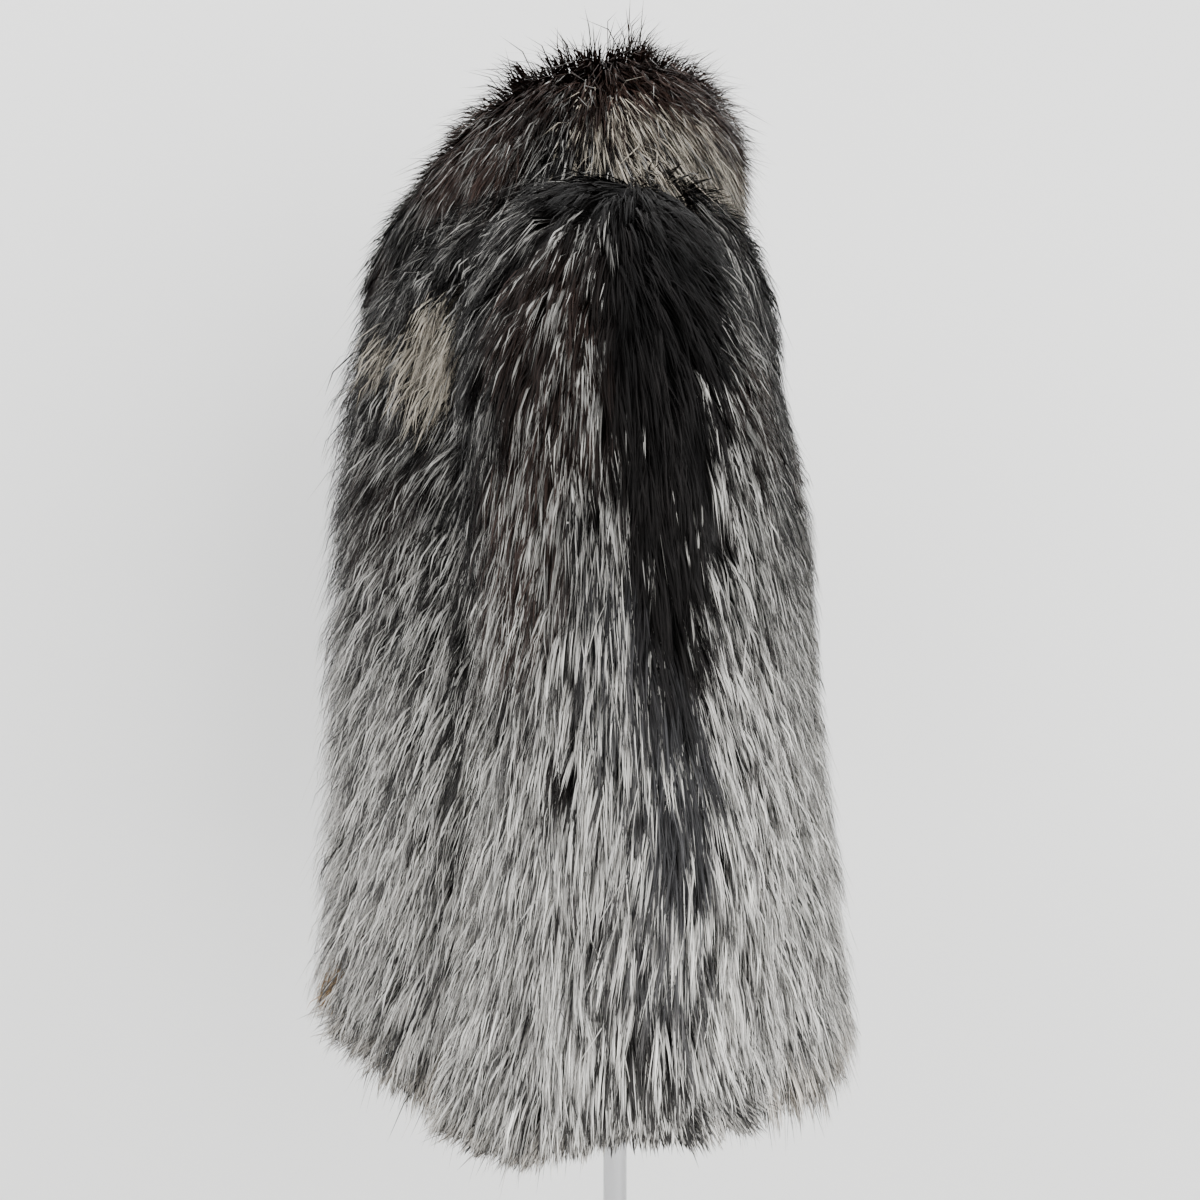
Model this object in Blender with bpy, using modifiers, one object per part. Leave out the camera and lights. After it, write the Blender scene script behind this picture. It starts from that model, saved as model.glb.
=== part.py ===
"""Silver-fox fur jacket on a limbless dress form with a chrome pole and a round base.

Frame: metres, +Z up, origin on the floor under the pole's axis.  The wearer faces -Y, so the
wearer's left is +X.  The jacket is six furrier's pieces, each a closed wall whose outer face is
the plain reach of the fur and whose inner face is the lining.  They stand SEAM apart where they
are sewn.  Body and sleeves are rings taken from the tables below; the collar is a band folded
over along the neckline.
"""
import math

import bmesh
import bpy
import numpy as np

# ---------------------------------------------------------------- driving dimensions
SEAM = 0.0004            # space between two sewn pieces
FUR_WALL = 0.018         # lining to the plain face of the fur, body and sleeves
COLLAR_WALL = 0.014      # the collar's own wall, doubled where it folds
FRONT_GAP = 0.0030       # the two fronts hang edge to edge this far apart
FRONT_SQUARENESS = 2.1   # 2 is a true ellipse, more is boxier
SLEEVE_SQUARENESS = 2.4

POLE_RADIUS = 0.011
POLE_FOOT_Z = 0.0125
POLE_HEAD_Z = 0.8045
BASE_RADIUS = 0.170
SOCKET_RADIUS = 0.0185
SOCKET_SPACE = 0.0005    # pole to socket all round

# Body rings, hem to neckline.  half_width is across the wearer; the side and shoulder seams run
# along y_seam; each ring rises or dips to its own height at the front, the side and the back.
BODY_COLUMNS = ("half_width", "y_front", "y_seam", "y_back", "z_front", "z_side", "z_back",
                "back_squareness")
BODY_RINGS = (
    (0.200, -0.256, -0.010, 0.203, 0.684, 0.676, 0.672, 2.5),  # hem
    (0.199, -0.252, -0.003, 0.192, 0.800, 0.800, 0.800, 2.5),
    (0.198, -0.248, 0.006, 0.177, 0.930, 0.930, 0.930, 2.6),   # hip
    (0.197, -0.244, 0.016, 0.162, 1.050, 1.050, 1.050, 2.8),   # waist
    (0.197, -0.238, 0.026, 0.146, 1.162, 1.165, 1.165, 3.0),   # armpit
    (0.196, -0.230, 0.034, 0.137, 1.240, 1.262, 1.255, 3.0),   # chest
    (0.188, -0.214, 0.036, 0.131, 1.288, 1.340, 1.325, 2.9),   # shoulder point
    (0.160, -0.192, 0.030, 0.112, 1.316, 1.384, 1.374, 2.5),   # yoke
    (0.088, -0.158, -0.010, 0.042, 1.338, 1.408, 1.404, 2.1),  # neckline
)
BODY_ROWS_BELOW = 7      # rows from the hem to the armpit
BODY_ROWS_ARMHOLE = 12   # rows up the armhole
BODY_ROWS_ABOVE = 4      # rows from the armhole's head to the neckline
FRONT_COLUMNS = 10
BACK_COLUMNS = 20

# The armhole: an upright oval cut through the body's side.
ARMHOLE_Y = 0.036
ARMHOLE_Z = 1.268
ARMHOLE_HALF_DEPTH = 0.058
ARMHOLE_HALF_HEIGHT = 0.086

# Sleeve rings after the armhole.  tilt turns a ring from upright (0) to level (90); foot is the
# ring's point nearest the body, half_long runs from there outwards, half_y front to back.
SLEEVE_COLUMNS = ("tilt", "foot_x", "foot_z", "half_long", "y_mid", "half_y")
SLEEVE_RINGS = (
    (12.0, 0.2008, 1.163, 0.101, 0.039, 0.082),
    (32.0, 0.2020, 1.157, 0.092, 0.044, 0.090),
    (55.0, 0.2032, 1.143, 0.079, 0.051, 0.096),
    (76.0, 0.2042, 1.115, 0.069, 0.058, 0.098),
    (90.0, 0.2050, 1.060, 0.065, 0.062, 0.098),
    (90.0, 0.2052, 0.960, 0.064, 0.064, 0.098),
    (90.0, 0.2056, 0.860, 0.064, 0.062, 0.099),
    (90.0, 0.2062, 0.760, 0.065, 0.055, 0.102),
    (90.0, 0.2070, 0.688, 0.067, 0.047, 0.105),            # cuff
)
SLEEVE_SIDES = 36
SLEEVE_BEND_ROWS = 5     # rows of the table that turn; two rings are drawn for each

# Collar sections from the front end round to the back neck.  turn is the angle from the centre
# front; the stand rises and leans out, then the fall drops and reaches out.
COLLAR_COLUMNS = ("turn", "rise", "lean", "drop", "reach")
COLLAR_SECTIONS = (
    (5.0, 0.032, 0.012, 0.058, 0.038),                     # front end
    (30.0, 0.044, 0.013, 0.066, 0.040),
    (60.0, 0.056, 0.013, 0.072, 0.040),
    (95.0, 0.068, 0.012, 0.078, 0.044),                    # over the shoulder seam
    (140.0, 0.078, 0.008, 0.078, 0.038),
    (180.0, 0.084, 0.006, 0.076, 0.034),                   # centre back
)
COLLAR_STEPS = 17        # sections drawn from the front end to the centre back
COLLAR_PATH_STEPS = 11   # steps along the folded band

# Torso rings, underside to neck: horizontal, narrower than the jacket's inside everywhere.
TORSO_COLUMNS = ("z", "half_width", "y_front", "y_back")
TORSO_RINGS = (
    (0.8080, 0.142, -0.098, 0.090),
    (0.8180, 0.150, -0.105, 0.098),
    (0.8700, 0.160, -0.112, 0.108),                        # hip
    (0.9500, 0.146, -0.104, 0.100),
    (1.0400, 0.118, -0.088, 0.080),                        # waist
    (1.1200, 0.126, -0.104, 0.084),
    (1.2000, 0.140, -0.130, 0.090),                        # bust
    (1.2700, 0.148, -0.118, 0.095),
    (1.3250, 0.156, -0.092, 0.095),                        # shoulder blades
    (1.3520, 0.152, -0.072, 0.090),
    (1.3740, 0.124, -0.064, 0.062),                        # shoulder
    (1.3860, 0.092, -0.062, 0.034),
    (1.4000, 0.062, -0.066, 0.018),                        # neck
    (1.4400, 0.052, -0.070, 0.016),
    (1.4560, 0.051, -0.070, 0.015),
)
TORSO_SIDES = 44
TORSO_STEPS = 2
TORSO_SQUARENESS = 2.15
CAP_BOTTOM_Z = 1.4564
CAP_RISE = 0.022


# ---------------------------------------------------------------- scene set-up
def clear_scene():
    """Remove whatever the scene holds."""
    for item in list(bpy.data.objects):
        bpy.data.objects.remove(item, do_unlink=True)


def collection(name):
    """Make a collection in the scene."""
    made = bpy.data.collections.new(name)
    bpy.context.scene.collection.children.link(made)
    return made


def principled(name, colour, roughness, metallic=0.0):
    """Make a plain Principled material."""
    made = bpy.data.materials.new(name)
    made.use_nodes = True
    shader = made.node_tree.nodes["Principled BSDF"]
    shader.inputs["Base Color"].default_value = (*colour, 1.0)
    shader.inputs["Roughness"].default_value = roughness
    shader.inputs["Metallic"].default_value = metallic
    return made


def mesh_object(name, points, faces, home, material):
    """Make one closed object from points and faces, its faces turned outward."""
    mesh = bpy.data.meshes.new(name)
    mesh.from_pydata([tuple(map(float, p)) for p in points], [], [tuple(f) for f in faces])
    shaped = bmesh.new()
    shaped.from_mesh(mesh)
    bmesh.ops.recalc_face_normals(shaped, faces=shaped.faces)
    shaped.to_mesh(mesh)
    shaped.free()
    mesh.materials.append(material)
    made = bpy.data.objects.new(name, mesh)
    home.objects.link(made)
    return made


# ---------------------------------------------------------------- curves and rings
def through(knots, values, at):
    """Smooth curve through rows of values: cubic pieces whose slopes follow the neighbours."""
    knots = np.asarray(knots, float)
    values = np.asarray(values, float)
    at = np.clip(np.asarray(at, float), knots[0], knots[-1])
    slopes = np.gradient(values, knots, axis=0)
    cell = np.clip(np.searchsorted(knots, at, side="right") - 1, 0, len(knots) - 2)
    width = knots[cell + 1] - knots[cell]
    u = (at - knots[cell]) / width
    extra = (1,) * (values.ndim - 1)
    u, width = u.reshape(u.shape + extra), width.reshape(width.shape + extra)
    first = values[cell] * (2 * u**3 - 3 * u**2 + 1) + slopes[cell] * width * (u**3 - 2 * u**2 + u)
    return first + values[cell + 1] * (3 * u**2 - 2 * u**3) + slopes[cell + 1] * width * (u**3 - u**2)


def power(value, squareness):
    """Signed power that turns a circle's sine or cosine into a superellipse's."""
    return np.sign(value) * np.abs(value) ** (2.0 / squareness)


def body_point(turn, rise):
    """Outer face of the body: turn is the angle from the centre front towards the left side."""
    turn, rise = np.broadcast_arrays(np.asarray(turn, float), np.asarray(rise, float))
    row = through(np.arange(len(BODY_RINGS)), BODY_RINGS, rise.ravel()).reshape(rise.shape + (8,))
    width, front, seam, back, z_front, z_side, z_back, flat = np.moveaxis(row, -1, 0)
    side, ahead = np.sin(turn), np.cos(turn)
    boxy = np.where(ahead > 0, FRONT_SQUARENESS, flat)
    x = width * power(side, boxy)
    reach = np.where(ahead > 0, seam - front, back - seam)
    y = seam - reach * power(ahead, boxy)
    z = z_side + np.where(ahead > 0, z_front - z_side, z_back - z_side) * ahead**2
    return np.stack((x, y, z), axis=-1)


def body_normal(turn, rise):
    """Unit outward direction of the body's outer face."""
    step = 1e-3
    around = body_point(turn + step, rise) - body_point(turn - step, rise)
    last = len(BODY_RINGS) - 1
    up = body_point(turn, np.minimum(rise + step, last)) - body_point(turn, np.maximum(rise - step, 0))
    out = np.cross(around, up)
    return out / np.linalg.norm(out, axis=-1, keepdims=True)


def in_armhole(turn, rise):
    """Less than nothing inside the armhole's oval, more than nothing outside it."""
    point = body_point(turn, rise)
    deep = (point[..., 1] - ARMHOLE_Y) / ARMHOLE_HALF_DEPTH
    high = (point[..., 2] - ARMHOLE_Z) / ARMHOLE_HALF_HEIGHT
    return deep**2 + high**2 - 1.0


def rise_at_side(height):
    """The table's rise at which the side seam reaches a height."""
    low, high = 0.0, float(len(BODY_RINGS) - 1)
    for _ in range(50):
        middle = 0.5 * (low + high)
        if body_point(math.pi / 2, middle)[2] < height:
            low = middle
        else:
            high = middle
    return 0.5 * (low + high)


def edge_turn(start, rise):
    """Turn of a panel's side edge at a rise: the seam, or the armhole's rim beside it."""
    seam = math.pi / 2 + (-1 if start < math.pi / 2 else 1) * 0.5 * SEAM / 0.12
    if in_armhole(seam, rise) > 0:
        return seam
    outside, inside = start, seam
    for _ in range(50):
        middle = 0.5 * (outside + inside)
        if in_armhole(middle, rise) > 0:
            outside = middle
        else:
            inside = middle
    return outside


def body_rows():
    """Rises of the panels' rows, closer together round the armhole's head and foot."""
    foot = rise_at_side(ARMHOLE_Z - ARMHOLE_HALF_HEIGHT)
    head = rise_at_side(ARMHOLE_Z + ARMHOLE_HALF_HEIGHT)
    sweep = 0.5 - 0.5 * np.cos(np.linspace(0, math.pi, BODY_ROWS_ARMHOLE + 1))
    below = np.linspace(0, foot, BODY_ROWS_BELOW + 1)[:-1]
    above = np.linspace(head, len(BODY_RINGS) - 1, BODY_ROWS_ABOVE + 1)[1:]
    return np.concatenate((below, foot + (head - foot) * sweep, above))


# ---------------------------------------------------------------- walls
def walled_grid(outer, inner):
    """Points and faces of a wall between two grids of the same shape, closed on all four edges."""
    rows, columns = outer.shape[:2]
    number = np.arange(rows * columns).reshape(rows, columns)
    other = number + rows * columns
    faces = []
    for r in range(rows - 1):
        for c in range(columns - 1):
            faces.append((number[r, c], number[r, c + 1], number[r + 1, c + 1], number[r + 1, c]))
            faces.append((other[r, c], other[r + 1, c], other[r + 1, c + 1], other[r, c + 1]))
    rim = [(0, c) for c in range(columns)] + [(r, columns - 1) for r in range(1, rows)]
    rim += [(rows - 1, c) for c in range(columns - 2, -1, -1)] + [(r, 0) for r in range(rows - 2, 0, -1)]
    for here, there in zip(rim, rim[1:] + rim[:1]):
        faces.append((number[here], other[here], other[there], number[there]))
    return np.concatenate((outer.reshape(-1, 3), inner.reshape(-1, 3))), faces


def walled_tube(outer, inner, head):
    """Points and faces of an open tube's wall between two stacks of rings, closed at both ends.
    head is one more ring, half-way across the wall at the first end."""
    rings, sides = outer.shape[:2]
    number = np.arange(rings * sides).reshape(rings, sides)
    other = number + rings * sides
    middle = np.arange(sides) + 2 * rings * sides
    faces = []
    for s in range(sides):
        t = (s + 1) % sides
        for r in range(rings - 1):
            faces.append((number[r, s], number[r, t], number[r + 1, t], number[r + 1, s]))
            faces.append((other[r, s], other[r + 1, s], other[r + 1, t], other[r, t]))
        faces.append((number[0, s], middle[s], middle[t], number[0, t]))
        faces.append((middle[s], other[0, s], other[0, t], middle[t]))
        faces.append((number[-1, s], number[-1, t], other[-1, t], other[-1, s]))
    return np.concatenate((outer.reshape(-1, 3), inner.reshape(-1, 3), head)), faces


def panel(start, columns):
    """A front or half back: from its start turn to the side seam and the armhole's rim."""
    rows = body_rows()
    share = np.linspace(0, 1, columns + 1)
    ends = np.array([edge_turn(start, rise) for rise in rows])
    turn = start + (ends[:, None] - start) * share[None, :]
    rise = np.repeat(rows[:, None], columns + 1, axis=1)
    return turn, rise


def wall_object(name, turn, rise, home, material):
    """Build a wall object from a grid of turns and rises on the body."""
    outer = body_point(turn, rise)
    inner = outer - FUR_WALL * body_normal(turn, rise)
    points, faces = walled_grid(outer, inner)
    return mesh_object(name, points, faces, home, material)


def build_fronts(home, material):
    """Left and right front, mirror images."""
    start = math.asin((0.5 * FRONT_GAP / BODY_RINGS[-1][0]) ** (FRONT_SQUARENESS / 2))
    turn, rise = panel(start, FRONT_COLUMNS)
    wall_object("front_left", turn, rise, home, material)
    wall_object("front_right", -turn, rise, home, material)


def build_back(home, material):
    """One back: the left half and its mirror image share the centre-back column."""
    turn, rise = panel(math.pi, BACK_COLUMNS // 2)
    whole = np.concatenate((turn[:, ::-1], 2 * math.pi - turn[:, 1:]), axis=1)
    wall_object("back", whole, np.repeat(rise[:, :1], whole.shape[1], axis=1), home, material)


def side_x(y, z):
    """How far out the body's outer face lies at a place on the wearer's left side."""
    found = np.empty_like(y)
    for i, (want_y, want_z) in enumerate(zip(y, z)):
        low_rise, high_rise = 3.0, 7.6
        for _ in range(40):
            rise = 0.5 * (low_rise + high_rise)
            near, far = (math.radians(35), math.radians(145))
            for _ in range(30):
                turn = 0.5 * (near + far)
                if body_point(turn, rise)[1] < want_y:
                    near = turn
                else:
                    far = turn
            if body_point(turn, rise)[2] < want_z:
                low_rise = rise
            else:
                high_rise = rise
        found[i] = body_point(turn, rise)[0]
    return found


def sleeve_rings(inset):
    """Control rings of the left sleeve, drawn in by inset: the armhole's, then the table's."""
    angle = np.linspace(0, 2 * math.pi, SLEEVE_SIDES, endpoint=False)
    grow = FUR_WALL - inset
    y = ARMHOLE_Y + (ARMHOLE_HALF_DEPTH + grow) * np.cos(angle)
    z = ARMHOLE_Z + (ARMHOLE_HALF_HEIGHT + grow) * np.sin(angle)
    rings = [np.stack((side_x(y, z) + 4 * SEAM, y, z), axis=1)]
    for tilt, foot_x, foot_z, half_long, y_mid, half_y in SLEEVE_RINGS:
        lean = np.array((math.sin(math.radians(tilt)), 0.0, math.cos(math.radians(tilt))))
        centre = np.array((foot_x, y_mid, foot_z)) + half_long * lean
        along = (half_long - inset) * power(np.sin(angle), SLEEVE_SQUARENESS)
        across = (half_y - inset) * power(np.cos(angle), SLEEVE_SQUARENESS)
        rings.append(centre + along[:, None] * lean + across[:, None] * np.array((0.0, 1.0, 0.0)))
    return np.array(rings)


def build_sleeves(home, material):
    """Left sleeve and its mirror image."""
    knots = np.arange(len(SLEEVE_RINGS) + 1)
    bend = np.arange(0, SLEEVE_BEND_ROWS, 0.5)
    fine = np.concatenate((bend, np.arange(SLEEVE_BEND_ROWS, knots[-1] + 1)))
    outer = through(knots, sleeve_rings(0.0), fine)
    inner = through(knots, sleeve_rings(FUR_WALL), fine)
    head = sleeve_rings(0.5 * FUR_WALL)[0]
    for name, sign in (("sleeve_left", 1.0), ("sleeve_right", -1.0)):
        flip = np.array((sign, 1.0, 1.0))
        points, faces = walled_tube(outer * flip, inner * flip, head * flip)
        mesh_object(name, points, faces, home, material)


def collar_section(turn, rise, lean, drop, reach):
    """Closed outline of the folded band at one turn: long side, then short side back again."""
    neck = float(len(BODY_RINGS) - 1)
    foot = body_point(turn, neck)
    near = body_point(turn, neck - 0.02)
    step = 0.02 * COLLAR_WALL / np.linalg.norm(near - foot)
    heel = body_point(turn, neck - step) + 3 * SEAM * body_normal(turn, neck - step)
    foot = foot + 3 * SEAM * body_normal(turn, neck)
    outward = body_point(turn, neck - step) - body_point(turn, neck)
    outward = np.array((outward[0], outward[1], 0.0))
    outward /= np.linalg.norm(outward)
    middle = 0.5 * COLLAR_WALL
    path = np.array((
        (middle, 0.0),
        (middle + 0.40 * lean, 0.55 * rise),
        (middle + lean + 0.15 * reach, rise - middle),
        (middle + lean + 0.70 * reach, rise - middle - 0.28 * (drop - middle)),
        (middle + lean + reach, rise - drop),
    ))
    knots = np.concatenate(((0.0,), np.cumsum(np.linalg.norm(np.diff(path, axis=0), axis=1))))
    at = np.linspace(0, knots[-1], COLLAR_PATH_STEPS + 1)
    line = through(knots, path, at)
    slope = np.gradient(line, at, axis=0)
    slope /= np.linalg.norm(slope, axis=1, keepdims=True)
    normal = np.stack((-slope[:, 1], slope[:, 0]), axis=1)
    long_side = line + middle * normal
    short_side = line - middle * normal
    base = np.array((foot[0], foot[1], foot[2]))
    loops = []
    for side in (long_side, short_side[::-1]):
        loops.append(base + side[:, :1] * outward + side[:, 1:] * np.array((0.0, 0.0, 1.0)))
    loops[0][0] = foot
    loops[1][-1] = heel
    return np.concatenate(loops)


def build_collar(home, material):
    """The folded band from the right front end, round the back neck, to the left front end."""
    table = np.array(COLLAR_SECTIONS)
    turns = np.linspace(table[0, 0], table[-1, 0], COLLAR_STEPS + 1)
    rows = through(table[:, 0], table[:, 1:], turns)
    left = np.array([collar_section(math.radians(t), *row) for t, row in zip(turns, rows)])
    right = left[::-1] * np.array((-1.0, 1.0, 1.0))
    sections = np.concatenate((left, right[1:]))
    count, ring = sections.shape[:2]
    number = np.arange(count * ring).reshape(count, ring)
    faces = []
    for s in range(count - 1):
        for p in range(ring):
            q = (p + 1) % ring
            faces.append((number[s, p], number[s + 1, p], number[s + 1, q], number[s, q]))
    # each end is closed across the band's thickness, pair by pair, instead of with one big face
    half = ring // 2
    for end in (0, -1):
        for p in range(half - 1):
            a, b = number[end, p], number[end, p + 1]
            c, d = number[end, ring - 2 - p], number[end, ring - 1 - p]
            faces.append((a, b, c, d))
    mesh_object("collar", sections.reshape(-1, 3), faces, home, material)


# ---------------------------------------------------------------- stand
def build_torso(home, material):
    """Padded torso: level rings, closed above and below."""
    table = np.array(TORSO_RINGS)
    knots = np.arange(len(table))
    fine = np.linspace(0, knots[-1], knots[-1] * TORSO_STEPS + 1)
    rows = through(knots, table, fine)
    angle = np.linspace(0, 2 * math.pi, TORSO_SIDES, endpoint=False)
    side, ahead = power(np.sin(angle), TORSO_SQUARENESS), power(np.cos(angle), TORSO_SQUARENESS)
    x = rows[:, 1:2] * side
    y = 0.5 * (rows[:, 2:3] + rows[:, 3:4]) - 0.5 * (rows[:, 3:4] - rows[:, 2:3]) * ahead
    z = np.repeat(rows[:, :1], TORSO_SIDES, axis=1)
    points = np.stack((x, y, z), axis=-1)
    rings, sides = points.shape[:2]
    number = np.arange(rings * sides).reshape(rings, sides)
    faces = [tuple(number[0]), tuple(number[-1][::-1])]
    for r in range(rings - 1):
        for s in range(sides):
            t = (s + 1) % sides
            faces.append((number[r, s], number[r, t], number[r + 1, t], number[r + 1, s]))
    mesh_object("form_torso", points.reshape(-1, 3), faces, home, material)


def build_neck_cap(home, material):
    """Low domed cap over the torso's neck, an oval like the neck itself."""
    _, half_width, y_front, y_back = TORSO_RINGS[-1]
    shape = bmesh.new()
    bmesh.ops.create_uvsphere(shape, u_segments=TORSO_SIDES, v_segments=16, radius=1.0)
    below = [v for v in shape.verts if v.co.z < -1e-4]
    bmesh.ops.delete(shape, geom=below, context="VERTS")
    rim = [e for e in shape.edges if e.is_boundary]
    bmesh.ops.holes_fill(shape, edges=rim, sides=0)
    for v in shape.verts:
        v.co.x *= half_width
        v.co.y = 0.5 * (y_front + y_back) + 0.5 * (y_back - y_front) * v.co.y
        v.co.z = CAP_BOTTOM_Z + CAP_RISE * v.co.z
    bmesh.ops.recalc_face_normals(shape, faces=shape.faces)
    mesh = bpy.data.meshes.new("form_neck_cap")
    shape.to_mesh(mesh)
    shape.free()
    mesh.materials.append(material)
    home.objects.link(bpy.data.objects.new("form_neck_cap", mesh))


def turned(name, profile, sides, home, material, closed):
    """Turn a profile of (radius, height) about the pole's axis with a Screw modifier."""
    mesh = bpy.data.meshes.new(name)
    points = [(r, 0.0, z) for r, z in profile]
    edges = [(i, i + 1) for i in range(len(points) - 1)]
    if closed:
        edges.append((len(points) - 1, 0))
    mesh.from_pydata(points, edges, [])
    mesh.materials.append(material)
    made = bpy.data.objects.new(name, mesh)
    home.objects.link(made)
    screw = made.modifiers.new("turn", "SCREW")
    screw.axis = "Z"
    screw.steps = sides
    screw.render_steps = sides
    screw.use_merge_vertices = True
    screw.merge_threshold = 0.00005
    screw.use_normal_flip = True
    return made


def build_pole(home, material):
    """Chrome tube's plain outside, its ends lightly broken."""
    edge = 0.0008
    turned("pole", (
        (0.0, POLE_FOOT_Z), (POLE_RADIUS - edge, POLE_FOOT_Z), (POLE_RADIUS, POLE_FOOT_Z + edge),
        (POLE_RADIUS, POLE_HEAD_Z - edge), (POLE_RADIUS - edge, POLE_HEAD_Z), (0.0, POLE_HEAD_Z),
    ), 40, home, material, False)


def build_sockets(home, material):
    """The two rings that hold the pole: one under the torso, one on the base."""
    bore = POLE_RADIUS + SOCKET_SPACE
    top = TORSO_RINGS[0][0] - SEAM
    turned("form_socket", (
        (bore, top - 0.046), (SOCKET_RADIUS - 0.001, top - 0.046), (SOCKET_RADIUS, top - 0.045),
        (SOCKET_RADIUS, top - 0.006), (0.034, top - 0.005), (0.034, top), (bore, top),
    ), 40, home, material, True)
    low = 0.0225
    turned("base_socket", (
        (bore, low), (0.0300, low), (0.0300, low + 0.004), (0.0215, low + 0.010),
        (SOCKET_RADIUS, low + 0.020), (SOCKET_RADIUS, low + 0.048), (SOCKET_RADIUS - 0.002, low + 0.050),
        (bore, low + 0.050),
    ), 40, home, material, True)


def build_base(home, material):
    """Round heavy foot, low domed, with a shallow seat for the pole."""
    seat = POLE_RADIUS + SOCKET_SPACE
    turned("base", (
        (0.0, 0.0), (BASE_RADIUS - 0.0015, 0.0), (BASE_RADIUS, 0.0015), (BASE_RADIUS, 0.0075),
        (BASE_RADIUS - 0.0030, 0.0105), (0.150, 0.0128), (0.110, 0.0168), (0.070, 0.0198),
        (0.040, 0.0218), (0.0330, 0.0221), (seat, 0.0221), (seat, 0.0120), (0.0, 0.0120),
    ), 72, home, material, False)


def main():
    """Build the jacket and its stand."""
    clear_scene()
    home = collection("fur_jacket_on_form")
    fur = principled("silver_fox_fur", (0.23, 0.22, 0.21), 0.85)
    collar_fur = principled("dark_fox_fur", (0.07, 0.06, 0.055), 0.85)
    cover = principled("form_cover", (0.62, 0.59, 0.53), 0.9)
    cap = principled("turned_cap", (0.30, 0.18, 0.09), 0.5)
    chrome = principled("chrome", (0.78, 0.78, 0.79), 0.12, 1.0)
    foot = principled("base_metal", (0.62, 0.62, 0.63), 0.25, 1.0)
    build_back(home, fur)
    build_fronts(home, fur)
    build_sleeves(home, fur)
    build_collar(home, collar_fur)
    build_torso(home, cover)
    build_neck_cap(home, cap)
    build_pole(home, chrome)
    build_sockets(home, chrome)
    build_base(home, foot)


main()
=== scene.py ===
"""Silver-fox fur jacket on a limbless dress form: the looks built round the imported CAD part.

The wearer faces -Y and the wearer's left is +X.  Every furred piece is a skin shell that follows
the CAD wall, with guard hairs grown over it as joined ribbons.  The hairs of a piece come in
tufts: each tuft has its own direction, length and share of white-banded hairs, and its hairs draw
together towards their tips.  The stand is turned and lofted to the CAD's own sizes.
"""
import logging
import math
from dataclasses import dataclass, field, replace
from enum import Enum
from typing import Callable, Optional

import bpy
import numpy as np
from mathutils import Euler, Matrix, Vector


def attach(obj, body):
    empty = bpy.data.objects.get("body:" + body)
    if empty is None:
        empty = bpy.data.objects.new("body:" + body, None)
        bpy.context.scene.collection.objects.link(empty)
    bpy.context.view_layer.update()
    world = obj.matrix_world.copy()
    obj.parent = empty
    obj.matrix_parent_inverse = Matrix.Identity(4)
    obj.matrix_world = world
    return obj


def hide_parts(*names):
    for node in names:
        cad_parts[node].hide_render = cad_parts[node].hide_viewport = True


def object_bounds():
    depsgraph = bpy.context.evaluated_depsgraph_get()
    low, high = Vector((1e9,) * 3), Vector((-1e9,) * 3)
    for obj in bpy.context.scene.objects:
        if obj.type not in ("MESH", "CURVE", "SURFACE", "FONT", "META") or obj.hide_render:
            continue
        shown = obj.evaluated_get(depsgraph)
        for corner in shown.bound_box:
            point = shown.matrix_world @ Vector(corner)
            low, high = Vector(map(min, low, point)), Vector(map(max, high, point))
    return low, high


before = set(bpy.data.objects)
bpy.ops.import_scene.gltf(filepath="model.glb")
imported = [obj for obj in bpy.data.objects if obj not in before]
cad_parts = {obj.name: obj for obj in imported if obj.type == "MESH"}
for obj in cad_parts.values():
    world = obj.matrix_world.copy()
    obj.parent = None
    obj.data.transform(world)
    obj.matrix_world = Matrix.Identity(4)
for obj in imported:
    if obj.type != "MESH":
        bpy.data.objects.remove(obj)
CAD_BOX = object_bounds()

LOG = logging.getLogger("fur_jacket")
Array = np.ndarray


# ================================================================ small maths
def through(knots: Array, values: Array, at: Array) -> Array:
    """Smooth curve through rows of values.

    Cubic pieces between neighbouring rows; the slope at each row follows its two neighbours.

    Args:
        knots: one rising number for each row.
        values: the rows, of any shape after the first axis.
        at: where to read the curve; beyond the ends it holds the end rows.

    Returns:
        One row for each place in at.
    """
    knots = np.asarray(knots, float)
    values = np.asarray(values, float)
    at = np.clip(np.asarray(at, float), knots[0], knots[-1])
    slopes = np.gradient(values, knots, axis=0)
    cell = np.clip(np.searchsorted(knots, at, side="right") - 1, 0, len(knots) - 2)
    width = knots[cell + 1] - knots[cell]
    u = (at - knots[cell]) / width
    shape = u.shape + (1,) * (values.ndim - 1)
    u, width = u.reshape(shape), width.reshape(shape)
    start = values[cell] * (2 * u**3 - 3 * u**2 + 1) + slopes[cell] * width * (u**3 - 2 * u**2 + u)
    return start + values[cell + 1] * (3 * u**2 - 2 * u**3) + slopes[cell + 1] * width * (u**3 - u**2)


def power(value: Array, squareness: Array) -> Array:
    """Turn a circle's sine or cosine into a superellipse's: the signed value to 2 / squareness."""
    return np.sign(value) * np.abs(value) ** (2.0 / squareness)


def unit(vectors: Array) -> Array:
    """Vectors of length one along the last axis."""
    return vectors / np.maximum(np.linalg.norm(vectors, axis=-1, keepdims=True), 1e-12)


def smooth(value: Array, low: float, high: float) -> Array:
    """0 at low, 1 at high, with an S-shaped rise between them; low may be the larger."""
    t = np.clip((np.asarray(value, float) - low) / (high - low), 0.0, 1.0)
    return t * t * (3 - 2 * t)


def ripple(points: Array, size: float, seed: int) -> Array:
    """Soft random field from -1 to 1: a sum of sine waves in random directions.

    Args:
        points: places in metres, three to a row.
        size: rough distance between bumps, in metres.
        seed: picks the directions and phases.
    """
    rng = np.random.default_rng(seed)
    total = np.zeros(points.shape[:-1])
    for _ in range(7):
        direction = unit(rng.normal(size=3)) * (2 * math.pi / (size * rng.uniform(0.7, 1.6)))
        total += np.sin(points @ direction + rng.uniform(0, 2 * math.pi))
    return np.clip(total / 3.2, -1.0, 1.0)


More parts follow.
